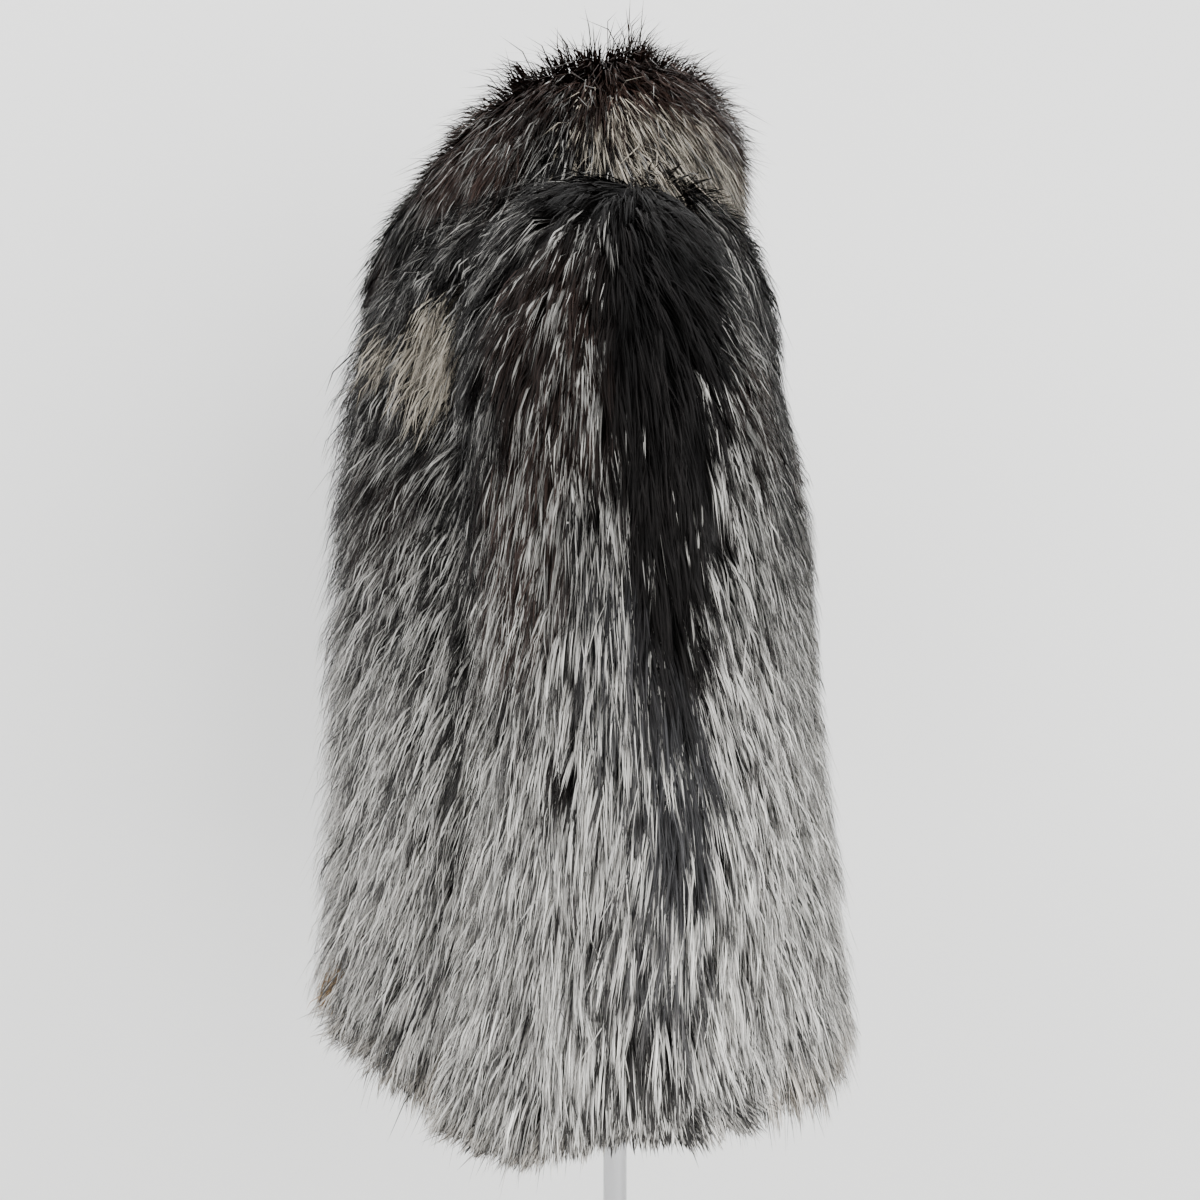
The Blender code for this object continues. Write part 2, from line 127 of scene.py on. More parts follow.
# ================================================================ the jacket's cut
@dataclass(frozen=True)
class BodyCut:
    """The body's outer face, from the hem's ring to the neckline's, as in the CAD part.

    Each row: half width, front, seam and back depth, height at front, side and back, and how
    flat the back hangs.
    """

    rings: tuple = (
        (0.200, -0.256, -0.010, 0.203, 0.684, 0.676, 0.672, 2.5),
        (0.199, -0.252, -0.003, 0.192, 0.800, 0.800, 0.800, 2.5),
        (0.198, -0.248, 0.006, 0.177, 0.930, 0.930, 0.930, 2.6),
        (0.197, -0.244, 0.016, 0.162, 1.050, 1.050, 1.050, 2.8),
        (0.197, -0.238, 0.026, 0.146, 1.162, 1.165, 1.165, 3.0),
        (0.196, -0.230, 0.034, 0.137, 1.240, 1.262, 1.255, 3.0),
        (0.188, -0.214, 0.036, 0.131, 1.288, 1.340, 1.325, 2.9),
        (0.160, -0.192, 0.030, 0.112, 1.316, 1.384, 1.374, 2.5),
        (0.088, -0.158, -0.010, 0.042, 1.338, 1.408, 1.404, 2.1),
    )
    front_squareness: float = 2.1
    armhole_y: float = 0.036
    armhole_z: float = 1.268
    armhole_half_depth: float = 0.058
    armhole_half_height: float = 0.086

    @property
    def neck(self) -> float:
        """The rise at which the body ends: the neckline's row number."""
        return float(len(self.rings) - 1)

    def point(self, turn: Array, rise: Array) -> Array:
        """Place on the outer face.

        x is the half width times the superellipse sine of the turn; y runs from the seam to the
        front or the back with its cosine; z is the side's height, drawn to the front's or the
        back's with the cosine squared.
        """
        turn, rise = np.broadcast_arrays(np.asarray(turn, float), np.asarray(rise, float))
        row = through(np.arange(len(self.rings)), self.rings, rise.ravel()).reshape(rise.shape + (8,))
        width, front, seam, back, z_front, z_side, z_back, flat = np.moveaxis(row, -1, 0)
        side, ahead = np.sin(turn), np.cos(turn)
        boxy = np.where(ahead > 0, self.front_squareness, flat)
        y = seam - np.where(ahead > 0, seam - front, back - seam) * power(ahead, boxy)
        z = z_side + np.where(ahead > 0, z_front - z_side, z_back - z_side) * ahead**2
        return np.stack((width * power(side, boxy), y, z), axis=-1)

    def outside_armhole(self, turn: Array, rise: Array) -> Array:
        """More than nothing outside the armhole's oval, less than nothing inside it."""
        place = self.point(turn, rise)
        deep = (place[..., 1] - self.armhole_y) / self.armhole_half_depth
        high = (place[..., 2] - self.armhole_z) / self.armhole_half_height
        return deep**2 + high**2 - 1.0

    def edge_turn(self, start: float, rises: Array) -> Array:
        """Turn of a panel's side edge at each rise: the seam, or the armhole's rim beside it.

        The rim is found by halving the span between a turn outside the armhole and the seam.
        """
        seam = np.full(rises.shape, math.pi / 2 + (-0.0016 if start < math.pi / 2 else 0.0016))
        outside, inside = np.full(rises.shape, start), seam.copy()
        for _ in range(40):
            middle = 0.5 * (outside + inside)
            clear = self.outside_armhole(middle, rises) > 0
            outside, inside = np.where(clear, middle, outside), np.where(clear, inside, middle)
        return np.where(self.outside_armhole(seam, rises) > 0, seam, outside)

    def panel(self, start: float, rows: int, columns: int) -> tuple[Array, Array]:
        """Turns and rises of a panel's grid, from its start turn to its side edge."""
        rises = np.linspace(0.0, self.neck, rows)
        ends = self.edge_turn(start, rises)
        turn = start + (ends[:, None] - start) * np.linspace(0, 1, columns)[None, :]
        return turn, np.repeat(rises[:, None], columns, axis=1)


@dataclass(frozen=True)
class SleeveCut:
    """The left sleeve's outer face: the armhole's ring, then rings that turn from upright to level.

    Each row: tilt in degrees, x and z of the ring's inmost point, half length, middle and half
    depth front to back.
    """

    body: BodyCut
    rings: tuple = (
        (12.0, 0.2008, 1.163, 0.101, 0.039, 0.082),
        (32.0, 0.2020, 1.157, 0.092, 0.044, 0.090),
        (55.0, 0.2032, 1.143, 0.079, 0.051, 0.096),
        (76.0, 0.2042, 1.115, 0.069, 0.058, 0.098),
        (90.0, 0.2050, 1.060, 0.065, 0.062, 0.098),
        (90.0, 0.2052, 0.960, 0.064, 0.064, 0.098),
        (90.0, 0.2056, 0.860, 0.064, 0.062, 0.099),
        (90.0, 0.2062, 0.760, 0.065, 0.055, 0.102),
        (90.0, 0.2070, 0.688, 0.067, 0.047, 0.105),
    )
    squareness: float = 2.4
    wall: float = 0.018
    seam_gap: float = 0.0016
    side_turns: tuple = (40, 140, 90)  # degrees from and to, and how many: the body's side
    side_rises: tuple = (3.6, 7.4, 120)

    def grid(self, rows: int, columns: int, inset: float) -> Array:
        """Rings from the armhole to the cuff, drawn in by inset; the columns go once round.

        Each ring is a superellipse about its centre, in a plane that leans from upright to level.
        The armhole's ring takes its x from the body's nearest point, a seam's gap further out.
        """
        angle = np.linspace(0, 2 * math.pi, columns, endpoint=False)
        grow = self.wall - inset
        y = self.body.armhole_y + (self.body.armhole_half_depth + grow) * np.cos(angle)
        z = self.body.armhole_z + (self.body.armhole_half_height + grow) * np.sin(angle)
        turns, rises = np.radians(np.linspace(*self.side_turns)), np.linspace(*self.side_rises)
        face = self.body.point(turns[None, :], rises[:, None]).reshape(-1, 3)
        gap_y, gap_z = face[None, :, 1] - y[:, None], face[None, :, 2] - z[:, None]
        near = (gap_y**2 + gap_z**2).argmin(axis=1)
        rings = [np.stack((face[near, 0] + self.seam_gap, y, z), axis=1)]
        for tilt, foot_x, foot_z, half_long, y_mid, half_y in self.rings:
            lean = np.array((math.sin(math.radians(tilt)), 0.0, math.cos(math.radians(tilt))))
            centre = np.array((foot_x, y_mid, foot_z)) + half_long * lean
            along = (half_long - inset) * power(np.sin(angle), self.squareness)
            across = (half_y - inset) * power(np.cos(angle), self.squareness)
            rings.append(centre + along[:, None] * lean + across[:, None] * np.array((0.0, 1.0, 0.0)))
        knots = np.arange(len(rings))
        return through(knots, np.array(rings), np.linspace(0, knots[-1], rows))


@dataclass(frozen=True)
class CollarCut:
    """The collar's band, folded over along the neckline.

    Each row: turn in degrees from the front, rise and lean of the stand, drop and reach of the
    fall.
    """

    body: BodyCut
    sections: tuple = (
        (5.0, 0.032, 0.012, 0.058, 0.038),
        (30.0, 0.044, 0.013, 0.066, 0.040),
        (60.0, 0.056, 0.013, 0.072, 0.040),
        (95.0, 0.068, 0.012, 0.078, 0.044),
        (140.0, 0.078, 0.008, 0.078, 0.038),
        (180.0, 0.084, 0.006, 0.076, 0.034),
    )
    wall: float = 0.014

    def grid(self, count: int, steps: int, outset: float) -> Array:
        """Sections from the left front end round the back to the right front end.

        Args:
            count: sections on each half.
            steps: places along the folded band, from its foot over the roll to the fall's edge.
            outset: distance from the band's middle line towards the furred side.

        Returns:
            Points by step along the band, then by section.
        """
        table = np.array(self.sections)
        turns = np.linspace(table[0, 0], table[-1, 0], count)
        rows = through(table[:, 0], table[:, 1:], turns)
        halves = []
        for turn, (rise, lean, drop, reach) in zip(np.radians(turns), rows):
            foot = self.body.point(turn, self.body.neck)
            away = self.body.point(turn, self.body.neck - 0.2) - foot
            outward = unit(np.array((away[0], away[1], 0.0)))
            middle = 0.5 * self.wall
            path = np.array((
                (middle, 0.0),
                (middle + 0.40 * lean, 0.55 * rise),
                (middle + lean + 0.15 * reach, rise - middle),
                (middle + lean + 0.70 * reach, rise - middle - 0.28 * (drop - middle)),
                (middle + lean + reach, rise - drop),
            ))
            knots = np.concatenate(((0.0,), np.cumsum(np.linalg.norm(np.diff(path, axis=0), axis=1))))
            at = np.linspace(0, knots[-1], steps)
            line = through(knots, path, at)
            slope = unit(np.gradient(line, at, axis=0))
            line = line + outset * np.stack((-slope[:, 1], slope[:, 0]), axis=1)
            halves.append(foot + line[:, :1] * outward + line[:, 1:] * np.array((0.0, 0.0, 1.0)))
        left = np.array(halves)
        right = left[::-1] * np.array((-1.0, 1.0, 1.0))
        return np.moveaxis(np.concatenate((left, right[1:])), 0, 1)


@dataclass(frozen=True)
class Fold:
    """One soft trough or ridge that runs down a panel.

    across is the place round the body or the sleeve and width its bell's half width, in degrees;
    depth is below nothing for a trough.
    """

    across: float
    width: float
    depth: float
    z_from: float
    z_to: float

    def height(self, across: Array, z: Array) -> Array:
        """How far the fold moves the face outward: a bell across it, faded in from z_from to z_to."""
        return self.depth * np.exp(-(((across - self.across) / self.width) ** 2)) * smooth(
            z, self.z_from, self.z_to
        )


# ================================================================ meshes
@dataclass
class Mesh:
    """Points and faces gathered as arrays, turned into one object at the end."""

    points: Array
    quads: Array
    tris: Array = field(default_factory=lambda: np.zeros((0, 3), int))
    normals: Optional[Array] = None
    colours: Optional[Array] = None
    darks: Optional[Array] = None
    strand: Optional[Array] = None
    cells: Optional[Array] = None
    each: int = 0

    def build(self, name: str, material: bpy.types.Material, flip: bool = False) -> bpy.types.Object:
        """Make the object.

        Args:
            name: the object's name.
            material: its one material.
            flip: turn every face over, as for a mirrored piece.
        """
        quads, tris = self.quads, self.tris
        if flip:
            quads, tris = quads[:, ::-1], tris[:, ::-1]
        corners = np.concatenate((quads.ravel(), tris.ravel())).astype(np.int32)
        starts = np.concatenate((np.arange(len(quads)) * 4, 4 * len(quads) + np.arange(len(tris)) * 3))
        mesh = bpy.data.meshes.new(name)
        mesh.vertices.add(len(self.points))
        mesh.vertices.foreach_set("co", np.ascontiguousarray(self.points, np.float32).ravel())
        mesh.loops.add(len(corners))
        mesh.loops.foreach_set("vertex_index", corners)
        mesh.polygons.add(len(starts))
        mesh.polygons.foreach_set("loop_start", starts.astype(np.int32))
        mesh.update(calc_edges=True)
        mesh.polygons.foreach_set("use_smooth", np.ones(len(starts), bool))
        for label, values in (("fur_tone", self.colours), ("fur_dark", self.darks)):
            if values is not None:
                tone = mesh.color_attributes.new(label, "FLOAT_COLOR", "POINT")
                full = np.concatenate((values, np.ones((len(values), 1))), axis=1)
                tone.data.foreach_set("color", full.astype(np.float32).ravel())
        for label, values in (("strand", self.strand), ("OFBake", self.cells)):
            if values is not None:
                layer = mesh.uv_layers.new(name=label)
                layer.data.foreach_set("uv", values[corners].astype(np.float32).ravel())
        if self.normals is not None:
            mesh.normals_split_custom_set_from_vertices(self.normals.astype(np.float32))
        mesh.materials.append(material)
        made = bpy.data.objects.new(name, mesh)
        bpy.context.scene.collection.objects.link(made)
        LOG.info("%s: %d triangles", name, 2 * len(quads) + len(tris))
        return made


def grid_quads(rows: int, columns: int, wrap: bool) -> Array:
    """Quads of a grid whose points are numbered row by row; wrap joins the last column to the first."""
    r, c = np.meshgrid(np.arange(rows - 1), np.arange(columns if wrap else columns - 1), indexing="ij")
    d = (c + 1) % columns
    this, below = r * columns, (r + 1) * columns
    return np.stack((this + c, this + d, below + d, below + c), -1).reshape(-1, 4)


def wall(outer: Array, inner: Array, wrap: bool) -> Mesh:
    """Closed wall between two grids of the same shape; its faces point away from the space between.

    The rims are strips of quads between the two grids' edges.
    """
    rows, columns = outer.shape[:2]
    count = rows * columns
    number = np.arange(count).reshape(rows, columns)
    front = grid_quads(rows, columns, wrap)
    if wrap:
        loops = [np.append(number[0], number[0, 0])[::-1], np.append(number[-1], number[-1, 0])]
    else:
        sides = (number[0], number[1:, -1], number[-1, -2::-1], number[-2:0:-1, 0], number[:1, 0])
        loops = [np.concatenate(sides)[::-1]]
    edges = [(loop[:-1], loop[1:]) for loop in loops]
    strips = [np.stack((a, b, b + count, a + count), -1) for a, b in edges]
    quads = np.concatenate([front, front[:, ::-1] + count] + strips)
    points = np.concatenate((outer.reshape(-1, 3), inner.reshape(-1, 3)))
    return Mesh(points, quads)


def facing_out(mesh: Mesh) -> bool:
    """Whether a closed mesh's faces point outward: its signed volume is above nothing."""
    a, b, c, d = (mesh.points[mesh.quads[:, k]] for k in range(4))
    volume = np.einsum("ij,ij->i", a, np.cross(b, c)) + np.einsum("ij,ij->i", a, np.cross(c, d))
    return float(volume.sum()) > 0


# ================================================================ colour of the fur
class Tone(Enum):
    """What a mark does to the fur under it."""

    # BLACK darkens the fur to black; some BLACK marks are painted shadow along the sleeves' edges
    BLACK = "black"
    SILVER = "silver"
    CREAM = "cream"
    BROWN = "brown"
    SLATE = "slate"
    GOLD = "gold"


@dataclass(frozen=True)
class Mark:
    """A soft oval patch of another tone, in metres front to back and up."""

    tone: Tone
    y: float
    z: float
    half_y: float
    half_z: float
    strength: float = 1.0
    lean: float = 0.0

    def weight(self, points: Array) -> Array:
        """Share of the mark at each place: 1 in its middle, fading past its edge.

        lean shifts the mark's middle in y by that much for each metre downwards.
        """
        across = (points[..., 1] - self.y - self.lean * (self.z - points[..., 2])) / self.half_y
        up = (points[..., 2] - self.z) / self.half_z
        return self.strength * smooth(np.abs(across) ** 2 + np.abs(up) ** 3, EDGE, CORE)


def marks(**rows: tuple) -> tuple[Mark, ...]:
    """Marks from each tone's rows of (y, z, half_y, half_z, strength, lean)."""
    return tuple(Mark(Tone[name], *row) for name, listed in rows.items() for row in listed)


@dataclass(frozen=True)
class Palette:
    """The colours of the hair and the skin in linear light; skin_tints are added to under."""

    under: tuple = (0.018, 0.017, 0.018)
    black: tuple = (0.0085, 0.0074, 0.0072)
    brown: tuple = (0.058, 0.033, 0.0255)
    slate: tuple = (0.066, 0.068, 0.074)
    ash: tuple = (0.098, 0.096, 0.093)
    grey: tuple = (0.34, 0.335, 0.325)
    white: tuple = (0.90, 0.885, 0.840)
    cream: tuple = (0.72, 0.66, 0.55)
    tan: tuple = (0.34, 0.27, 0.19)
    gold: tuple = (0.44, 0.27, 0.10)
    lining: tuple = (0.012, 0.012, 0.014)
    skin_tints: tuple = (
        (Tone.SILVER, (0.055, 0.054, 0.052)),
        (Tone.SLATE, (0.05, 0.055, 0.066)),
        (Tone.CREAM, (0.30, 0.27, 0.21)),
        (Tone.BROWN, (0.03, 0.014, 0.006)),
    )


HAND, THUMB = 0.09, 0.035  # metres between uneven places in a pelt
EDGE, CORE = 1.6, 0.35  # where a mark begins and where it is full, in its own half sizes squared
MOST_SILVER = 0.97


@dataclass(frozen=True)
class Pelt:
    """Where the fur of one piece is silver, dark or marked.

    silver gives the share of white-banded tufts at a height, from rows of (height, share).
    brown is how brown the fur's uneven brown places are.
    """

    silver: tuple
    marks: tuple = ()
    brown: float = 0.10
    seed: int = 1

    def shares(self, points: Array) -> dict[Tone, Array]:
        """Share of every tone at each place, uneven on the scale of a hand and of a thumb."""
        heights = np.array(self.silver)
        share = np.interp(points[..., 2], heights[:, 0], heights[:, 1])
        share = share + 0.10 * ripple(points, HAND, self.seed)
        share = share + 0.09 * ripple(points, THUMB, self.seed + 7)
        found = {tone: np.zeros(share.shape) for tone in Tone}
        found[Tone.BROWN] = self.brown * smooth(ripple(points, 0.06, self.seed + 3), 0.1, 0.8)
        for mark in self.marks:
            found[mark.tone] = np.maximum(found[mark.tone], mark.weight(points))
        # under BLACK marks, painted shadows among them, the fur loses its brown and its silver
        found[Tone.BROWN] *= 1 - 0.9 * found[Tone.BLACK]
        share = share * (1 - found[Tone.BLACK]) * (1 - 0.75 * found[Tone.SLATE])
        found[Tone.SILVER] = np.clip(share + 0.5 * found[Tone.SILVER], 0.0, MOST_SILVER)
        return found


# ================================================================ hair
@dataclass(frozen=True)
class Hair:
    """One kind of hair: broad locks that carry several hairs each, or single hairs."""

    count: int
    length: float
    width: float
    pairs: int
    wild: float
    scatter: float
    crest: float
    pale: float


@dataclass(frozen=True)
class Coat:
    """How a piece's fur grows: its locks, its single hairs and what they share.

    Lengths are in metres.  draw is how far hairs gather to their tuft's middle, cling how closely
    they follow the face, sag how far they hang, rim the share of tufts on the lower rim, fluff
    how unruly they are and crest how much higher they stand on level fur.  overhang is (y, past
    the edge, y, past the edge), from front to back.  whorl is the place that the fur parts from.
    """

    locks: int
    singles: int
    length: float = 0.050
    pile: float = 0.024
    root_depth: float = 0.006
    tuft_spacing: float = 0.0088
    lock_width: float = 0.0018
    single_width: float = 0.00085
    draw: float = 0.55
    cling: float = 0.75
    sag: float = 0.10
    rim: float = 0.06
    fluff: float = 1.0
    crest: float = 0.0
    low_front: Optional[float] = None
    overhang: Optional[tuple] = (-0.20, 0.018, 0.20, 0.018)
    whorl: Optional[tuple] = None
    seed: int = 11

    def kinds(self) -> tuple[Hair, Hair]:
        """The two kinds of hair: locks, then single hairs."""
        long, fluff, crest = self.length, self.fluff, self.crest
        return (
            Hair(self.locks, 0.94 * long, self.lock_width, 3, 0.0, 2.2 * fluff, 0.6 * crest, 0.88),
            Hair(self.singles, long, self.single_width, 2, 0.05 * fluff, 3.2 * fluff, crest, 0.70),
        )


# how uneven the fur is: pairs are the least and the most, as shares of the coat's own numbers
TUFT_TURN = 4.6  # degrees, one standard deviation
TUFT_LENGTH = (0.84, 1.16)
TUFT_PILE = (0.70, 1.15)
TUFT_OVERHANG = (0.6, 1.5)
HAIR_LENGTH = (0.80, 1.10)
HAIR_PILE = (0.45, 1.12)
HAIR_WIDTH = (0.70, 1.30)
HAIR_ROLL = 0.30  # radians, one standard deviation
SPREAD = 0.62  # half width of a tuft in tuft spacings
STRETCH = 1.7  # how much longer than wide a tuft is at its roots
WILD_TURN, WILD_LENGTH, WILD_PILE = 2.5, 0.22, 0.30  # what an unruly hair has more of
MOST_DRIFT = 1.3  # farthest that the face carries a hair, in its own reach
STATIONS = {3: (0.0, 0.36, 0.70, 1.0), 2: (0.0, 0.46, 1.0)}  # places along a ribbon, by its pairs
TAPER = {3: (0.50, 1.0, 0.74), 2: (0.65, 1.0)}  # its width at each
ROUNDING = 0.45  # how far the shading leans to each side of a ribbon
PAINTED_HAIR = 0.00062  # width in metres of one hair painted on a ribbon
NO_BAND = (3.0, 4.0)  # a band placed past the tip
RIM_DEPTH = 0.75  # how deep into the wall the rim's tufts stand
LEAST_LENGTH, PAST_EDGE = 0.22, 0.004  # shortest tuft in the coat's length; metres past any edge
FRONT_LOW, BACK_LOW, BACK_DROP = (-0.15, -0.02), (0.06, 0.12), 0.55  # a low coat's y, and its drop
WHORL_LOW, WHORL_SIZE = 0.30, (0.015, 0.085)  # pile at the whorl, and the metres that it spans
# how the fur changes from dark high up to silver low down: what it is high up and what is added
SILVER_HEIGHTS = (1.22, 0.88)
TINT_LEAST, TINT_MOST = (0.14, 0.64), (0.63, 0.65)
BAND_FROM, BAND_TO = (0.40, -0.20), (0.82, 0.15)
TUFT_BAND, HAIR_BAND = (0.06, 0.08), (0.06, 0.09)  # unevenness of the band's two ends
# colour from hair to hair: pairs are the least and the most, or a beta curve's two numbers
STRAY = 0.26  # banded hairs in a dark tuft, as a share of the silver there
BROWNING, SLATING, ASHING = (0.5, 1.3), (0.5, 1.0), (0.2, 0.8)
WHITENESS, CREAMINESS, GOLDENNESS = (3.0, 1.2), (5.0, 1.4), (4.0, 1.4)
TANNED, TANNED_AT_HEM, HEM_HEIGHTS = 0.14, 0.40, (0.725, 0.680)
HAIR_SHADE, CREAM_TINT = (0.85, 1.10), (0.50, 0.55)
BROWN_KEPT = 0.35  # how much of its colour a brown hair keeps in a dark tuft
PATCH_FROM, PATCH_TO = (0.05, 0.5), (1.2, -0.9)  # the band in a cream or golden patch's middle, edge


@dataclass
class Patch:
    """A fine grid over one furred face, with the frame that hairs take from it.

    Rows run the way the hair lies, columns go round; wrap joins the last column to the first.
    """

    points: Array
    wrap: bool
    outward: Callable[[Array], Array]
    follow_rows: bool = False

    def __post_init__(self) -> None:
        """Work out the grid's own directions and its normals."""
        self.along = np.gradient(self.points, axis=0)
        if self.wrap:
            ring = np.concatenate((self.points[:, -1:], self.points, self.points[:, :1]), axis=1)
            self.around = 0.5 * (ring[:, 2:] - ring[:, :-2])
        else:
            self.around = np.gradient(self.points, axis=1)
        normals = unit(np.cross(self.around, self.along))
        sign = np.sign((normals * self.outward(self.points)).sum(axis=-1))
        self.normals = normals * (-1.0 if np.median(sign) < 0 else 1.0)
        self.area = np.linalg.norm(np.cross(self.around, self.along), axis=-1)

    def sample(self, count: int, weight: Array, rng: np.random.Generator) -> tuple[Array, Array]:
        """Random places, as many on each bit of the face as its area times its weight asks for."""
        rows, columns = self.points.shape[:2]
        cells = (self.area * weight)[: rows - 1, : columns if self.wrap else columns - 1]
        chance = np.cumsum(cells.ravel())
        pick = np.minimum(np.searchsorted(chance, rng.uniform(0, chance[-1], count)), cells.size - 1)
        row, column = np.divmod(pick, cells.shape[1])
        return row + rng.uniform(0, 1, count), column + rng.uniform(0, 1, count)

    def read(self, values: Array, row: Array, column: Array) -> Array:
        """Values of a grid between its points, weighted by how near each of the four is."""
        rows, columns = values.shape[:2]
        row = np.clip(row, 0, rows - 1.0001)
        r = row.astype(int)
        fr = (row - r)[..., None]
        if self.wrap:
            column = np.mod(column, columns)
            c = np.minimum(column.astype(int), columns - 1)
            d = (c + 1) % columns
        else:
            column = np.clip(column, 0, columns - 1.0001)
            c = column.astype(int)
            d = c + 1
        fc = (column - c)[..., None]
        top = values[r, c] * (1 - fc) + values[r, d] * fc
        low = values[r + 1, c] * (1 - fc) + values[r + 1, d] * fc
        return top * (1 - fr) + low * fr

    def place(self, row: Array, column: Array) -> Array:
        """Point at a place; past the last row it goes straight on as the face was going."""
        point = self.read(self.points, row, column)
        beyond = np.maximum(row - (self.points.shape[0] - 1.0), 0.0)[..., None]
        return point + beyond * self.read(self.along, row, column)


@dataclass
class Tufts:
    """The tufts of one piece: where each stands, which way it lies and how it is coloured."""

    patch: Patch
    coat: Coat
    pelt: Pelt
    pull: Callable[[Array], Array]
    weight: Callable[[Array, Array], Array]
    wall: float

    def __post_init__(self) -> None:
        """Scatter the tufts.

        A few of them stand on the rim, spread through the wall's thickness.  A tuft lies along
        the piece's pull, less the part of it that points into the face.
        """
        patch, coat = self.patch, self.coat
        rng = np.random.default_rng(coat.seed)
        share = self.weight(patch.points, patch.normals)
        total = float((patch.area * share).sum())
        self.count = count = int(total / coat.tuft_spacing**2)
        self.row, self.column = patch.sample(count, share, rng)
        on_rim = rng.uniform(size=count) < coat.rim
        last = patch.points.shape[0] - 1.0
        self.row = np.where(on_rim, last, self.row)
        self.depth = coat.root_depth + np.where(on_rim, rng.uniform(0, RIM_DEPTH * self.wall, count), 0.0)
        self.normal = unit(patch.read(patch.normals, self.row, self.column))
        self.face = patch.place(self.row, self.column)
        pull = patch.read(unit(patch.along), self.row, self.column) if patch.follow_rows else 0.0
        pull = pull + self.pull(self.face)
        flow = unit(pull - self.normal * (pull * self.normal).sum(axis=1, keepdims=True))
        turn = np.radians(rng.normal(0, TUFT_TURN, count))[:, None]
        self.flow = flow * np.cos(turn) + np.cross(self.normal, flow) * np.sin(turn)
        self.long = rng.uniform(*TUFT_LENGTH, count)
        if coat.overhang is not None:
            front_y, at_front, back_y, at_back = coat.overhang
            past = np.interp(self.face[:, 1], (front_y, back_y), (at_front, at_back))
            past = past * rng.uniform(*TUFT_OVERHANG, count)
            step = np.linalg.norm(patch.read(patch.along, self.row, self.column), axis=1)
            left = (last - self.row) * step
            self.long = np.clip((left + past + PAST_EDGE) / coat.length, LEAST_LENGTH, self.long)
        self.high = rng.uniform(*TUFT_PILE, count)
        if coat.low_front is not None:
            y = self.face[:, 1]
            self.high *= coat.low_front + (1 - coat.low_front) * smooth(y, *FRONT_LOW)
            self.high *= 1 - BACK_DROP * smooth(y, *BACK_LOW)
        if coat.whorl is not None:
            near = np.linalg.norm(self.face - np.array(coat.whorl), axis=1)
            self.high *= WHORL_LOW + (1 - WHORL_LOW) * smooth(near, *WHORL_SIZE)
        self.shares = self.pelt.shares(self.face)
        self.silver = rng.uniform(size=count) < self.shares[Tone.SILVER]
        self.low_down = smooth(self.face[:, 2], *SILVER_HEIGHTS)
        self.tint = rng.uniform(self.changing(TINT_LEAST), self.changing(TINT_MOST))
        self.band_from = self.changing(BAND_FROM) + rng.normal(0, TUFT_BAND[0], count)
        self.band_to = self.changing(BAND_TO) + rng.normal(0, TUFT_BAND[1], count)

    def changing(self, pair: tuple[float, float]) -> Array:
        """The pair's first number high up, its second added bit by bit lower down."""
        return pair[0] + pair[1] * self.low_down

    def grid_steps(self, own: Array, flow: Array) -> tuple[Array, Array]:
        """Rows and columns that one metre along the flow passes.

        The flow is split between the grid's two directions by least squares.
        """
        row, column = self.row[own], self.column[own]
        e1, e2 = (self.patch.read(grid, row, column) for grid in (self.patch.around, self.patch.along))
        g11, g12, g22 = (e1 * e1).sum(1), (e1 * e2).sum(1), (e2 * e2).sum(1)
        f1, f2 = (flow * e1).sum(1), (flow * e2).sum(1)
        det = np.maximum(g11 * g22 - g12**2, 1e-16)
        return (f2 * g11 - f1 * g12) / det, (f1 * g22 - f2 * g12) / det

    def grow(
        self, hair: Hair, palette: Palette, limits: tuple[Array, Array], rng: np.random.Generator
    ) -> Mesh:
        """Grow one kind of hair from the tufts.

        A hair starts beside its tuft's middle and draws in towards it.  It follows the face for
        a share cling of its way and its own straight line for the rest, climbs to its height in
        the pile quickly and then lies flat.

        Args:
            hair: the kind.
            palette: the colours.
            limits: lowest and highest corner that no hair passes.
            rng: random numbers.
        """
        patch, coat, count = self.patch, self.coat, hair.count
        own = rng.integers(0, self.count, count)
        normal, flow = self.normal[own], self.flow[own]
        wild = rng.uniform(size=count) < hair.wild
        turn = np.radians(rng.normal(0, hair.scatter, count) * (1 + WILD_TURN * wild))[:, None]
        flow = flow * np.cos(turn) + np.cross(normal, flow) * np.sin(turn)
        across = unit(np.cross(normal, flow))
        spread = SPREAD * coat.tuft_spacing * np.sqrt(rng.uniform(size=count))
        way = rng.uniform(0, 2 * math.pi, count)
        offset = across * (spread * np.cos(way))[:, None]
        offset = offset + flow * (STRETCH * spread * np.sin(way))[:, None]
        size = hair.length * self.long[own] * rng.uniform(*HAIR_LENGTH, count)
        size = size * (1 + WILD_LENGTH * wild)
        pile = coat.pile * self.high[own] * rng.uniform(*HAIR_PILE, count) * (1 + WILD_PILE * wild)
        pile *= 1 + hair.crest * np.clip(normal[:, 2], 0, 1)

        rows, columns = self.grid_steps(own, flow)
        root = self.face[own] + offset - normal * self.depth[own][:, None]
        hang = coat.sag * size * np.sqrt(np.clip(1 - normal[:, 2] ** 2, 0, 1))
        stations, taper = np.array(STATIONS[hair.pairs]), TAPER[hair.pairs]
        line = []
        for s in stations:
            reach = size * s
            there = patch.place(self.row[own] + rows * reach, self.column[own] + columns * reach)
            drift = there - self.face[own]
            far = np.linalg.norm(drift, axis=1)
            drift *= np.minimum(1.0, MOST_DRIFT * reach / np.maximum(far, 1e-9))[:, None]
            point = coat.cling * (root + drift) + (1 - coat.cling) * (root + flow * reach[:, None])
            climb = pile * (1 - (1 - s) ** 2)
            point = point + normal * climb[:, None] - offset * (coat.draw * s**1.4)
            point[:, 2] -= hang * s**2
            line.append(point)
        line = np.clip(np.stack(line, axis=1), limits[0], limits[1])

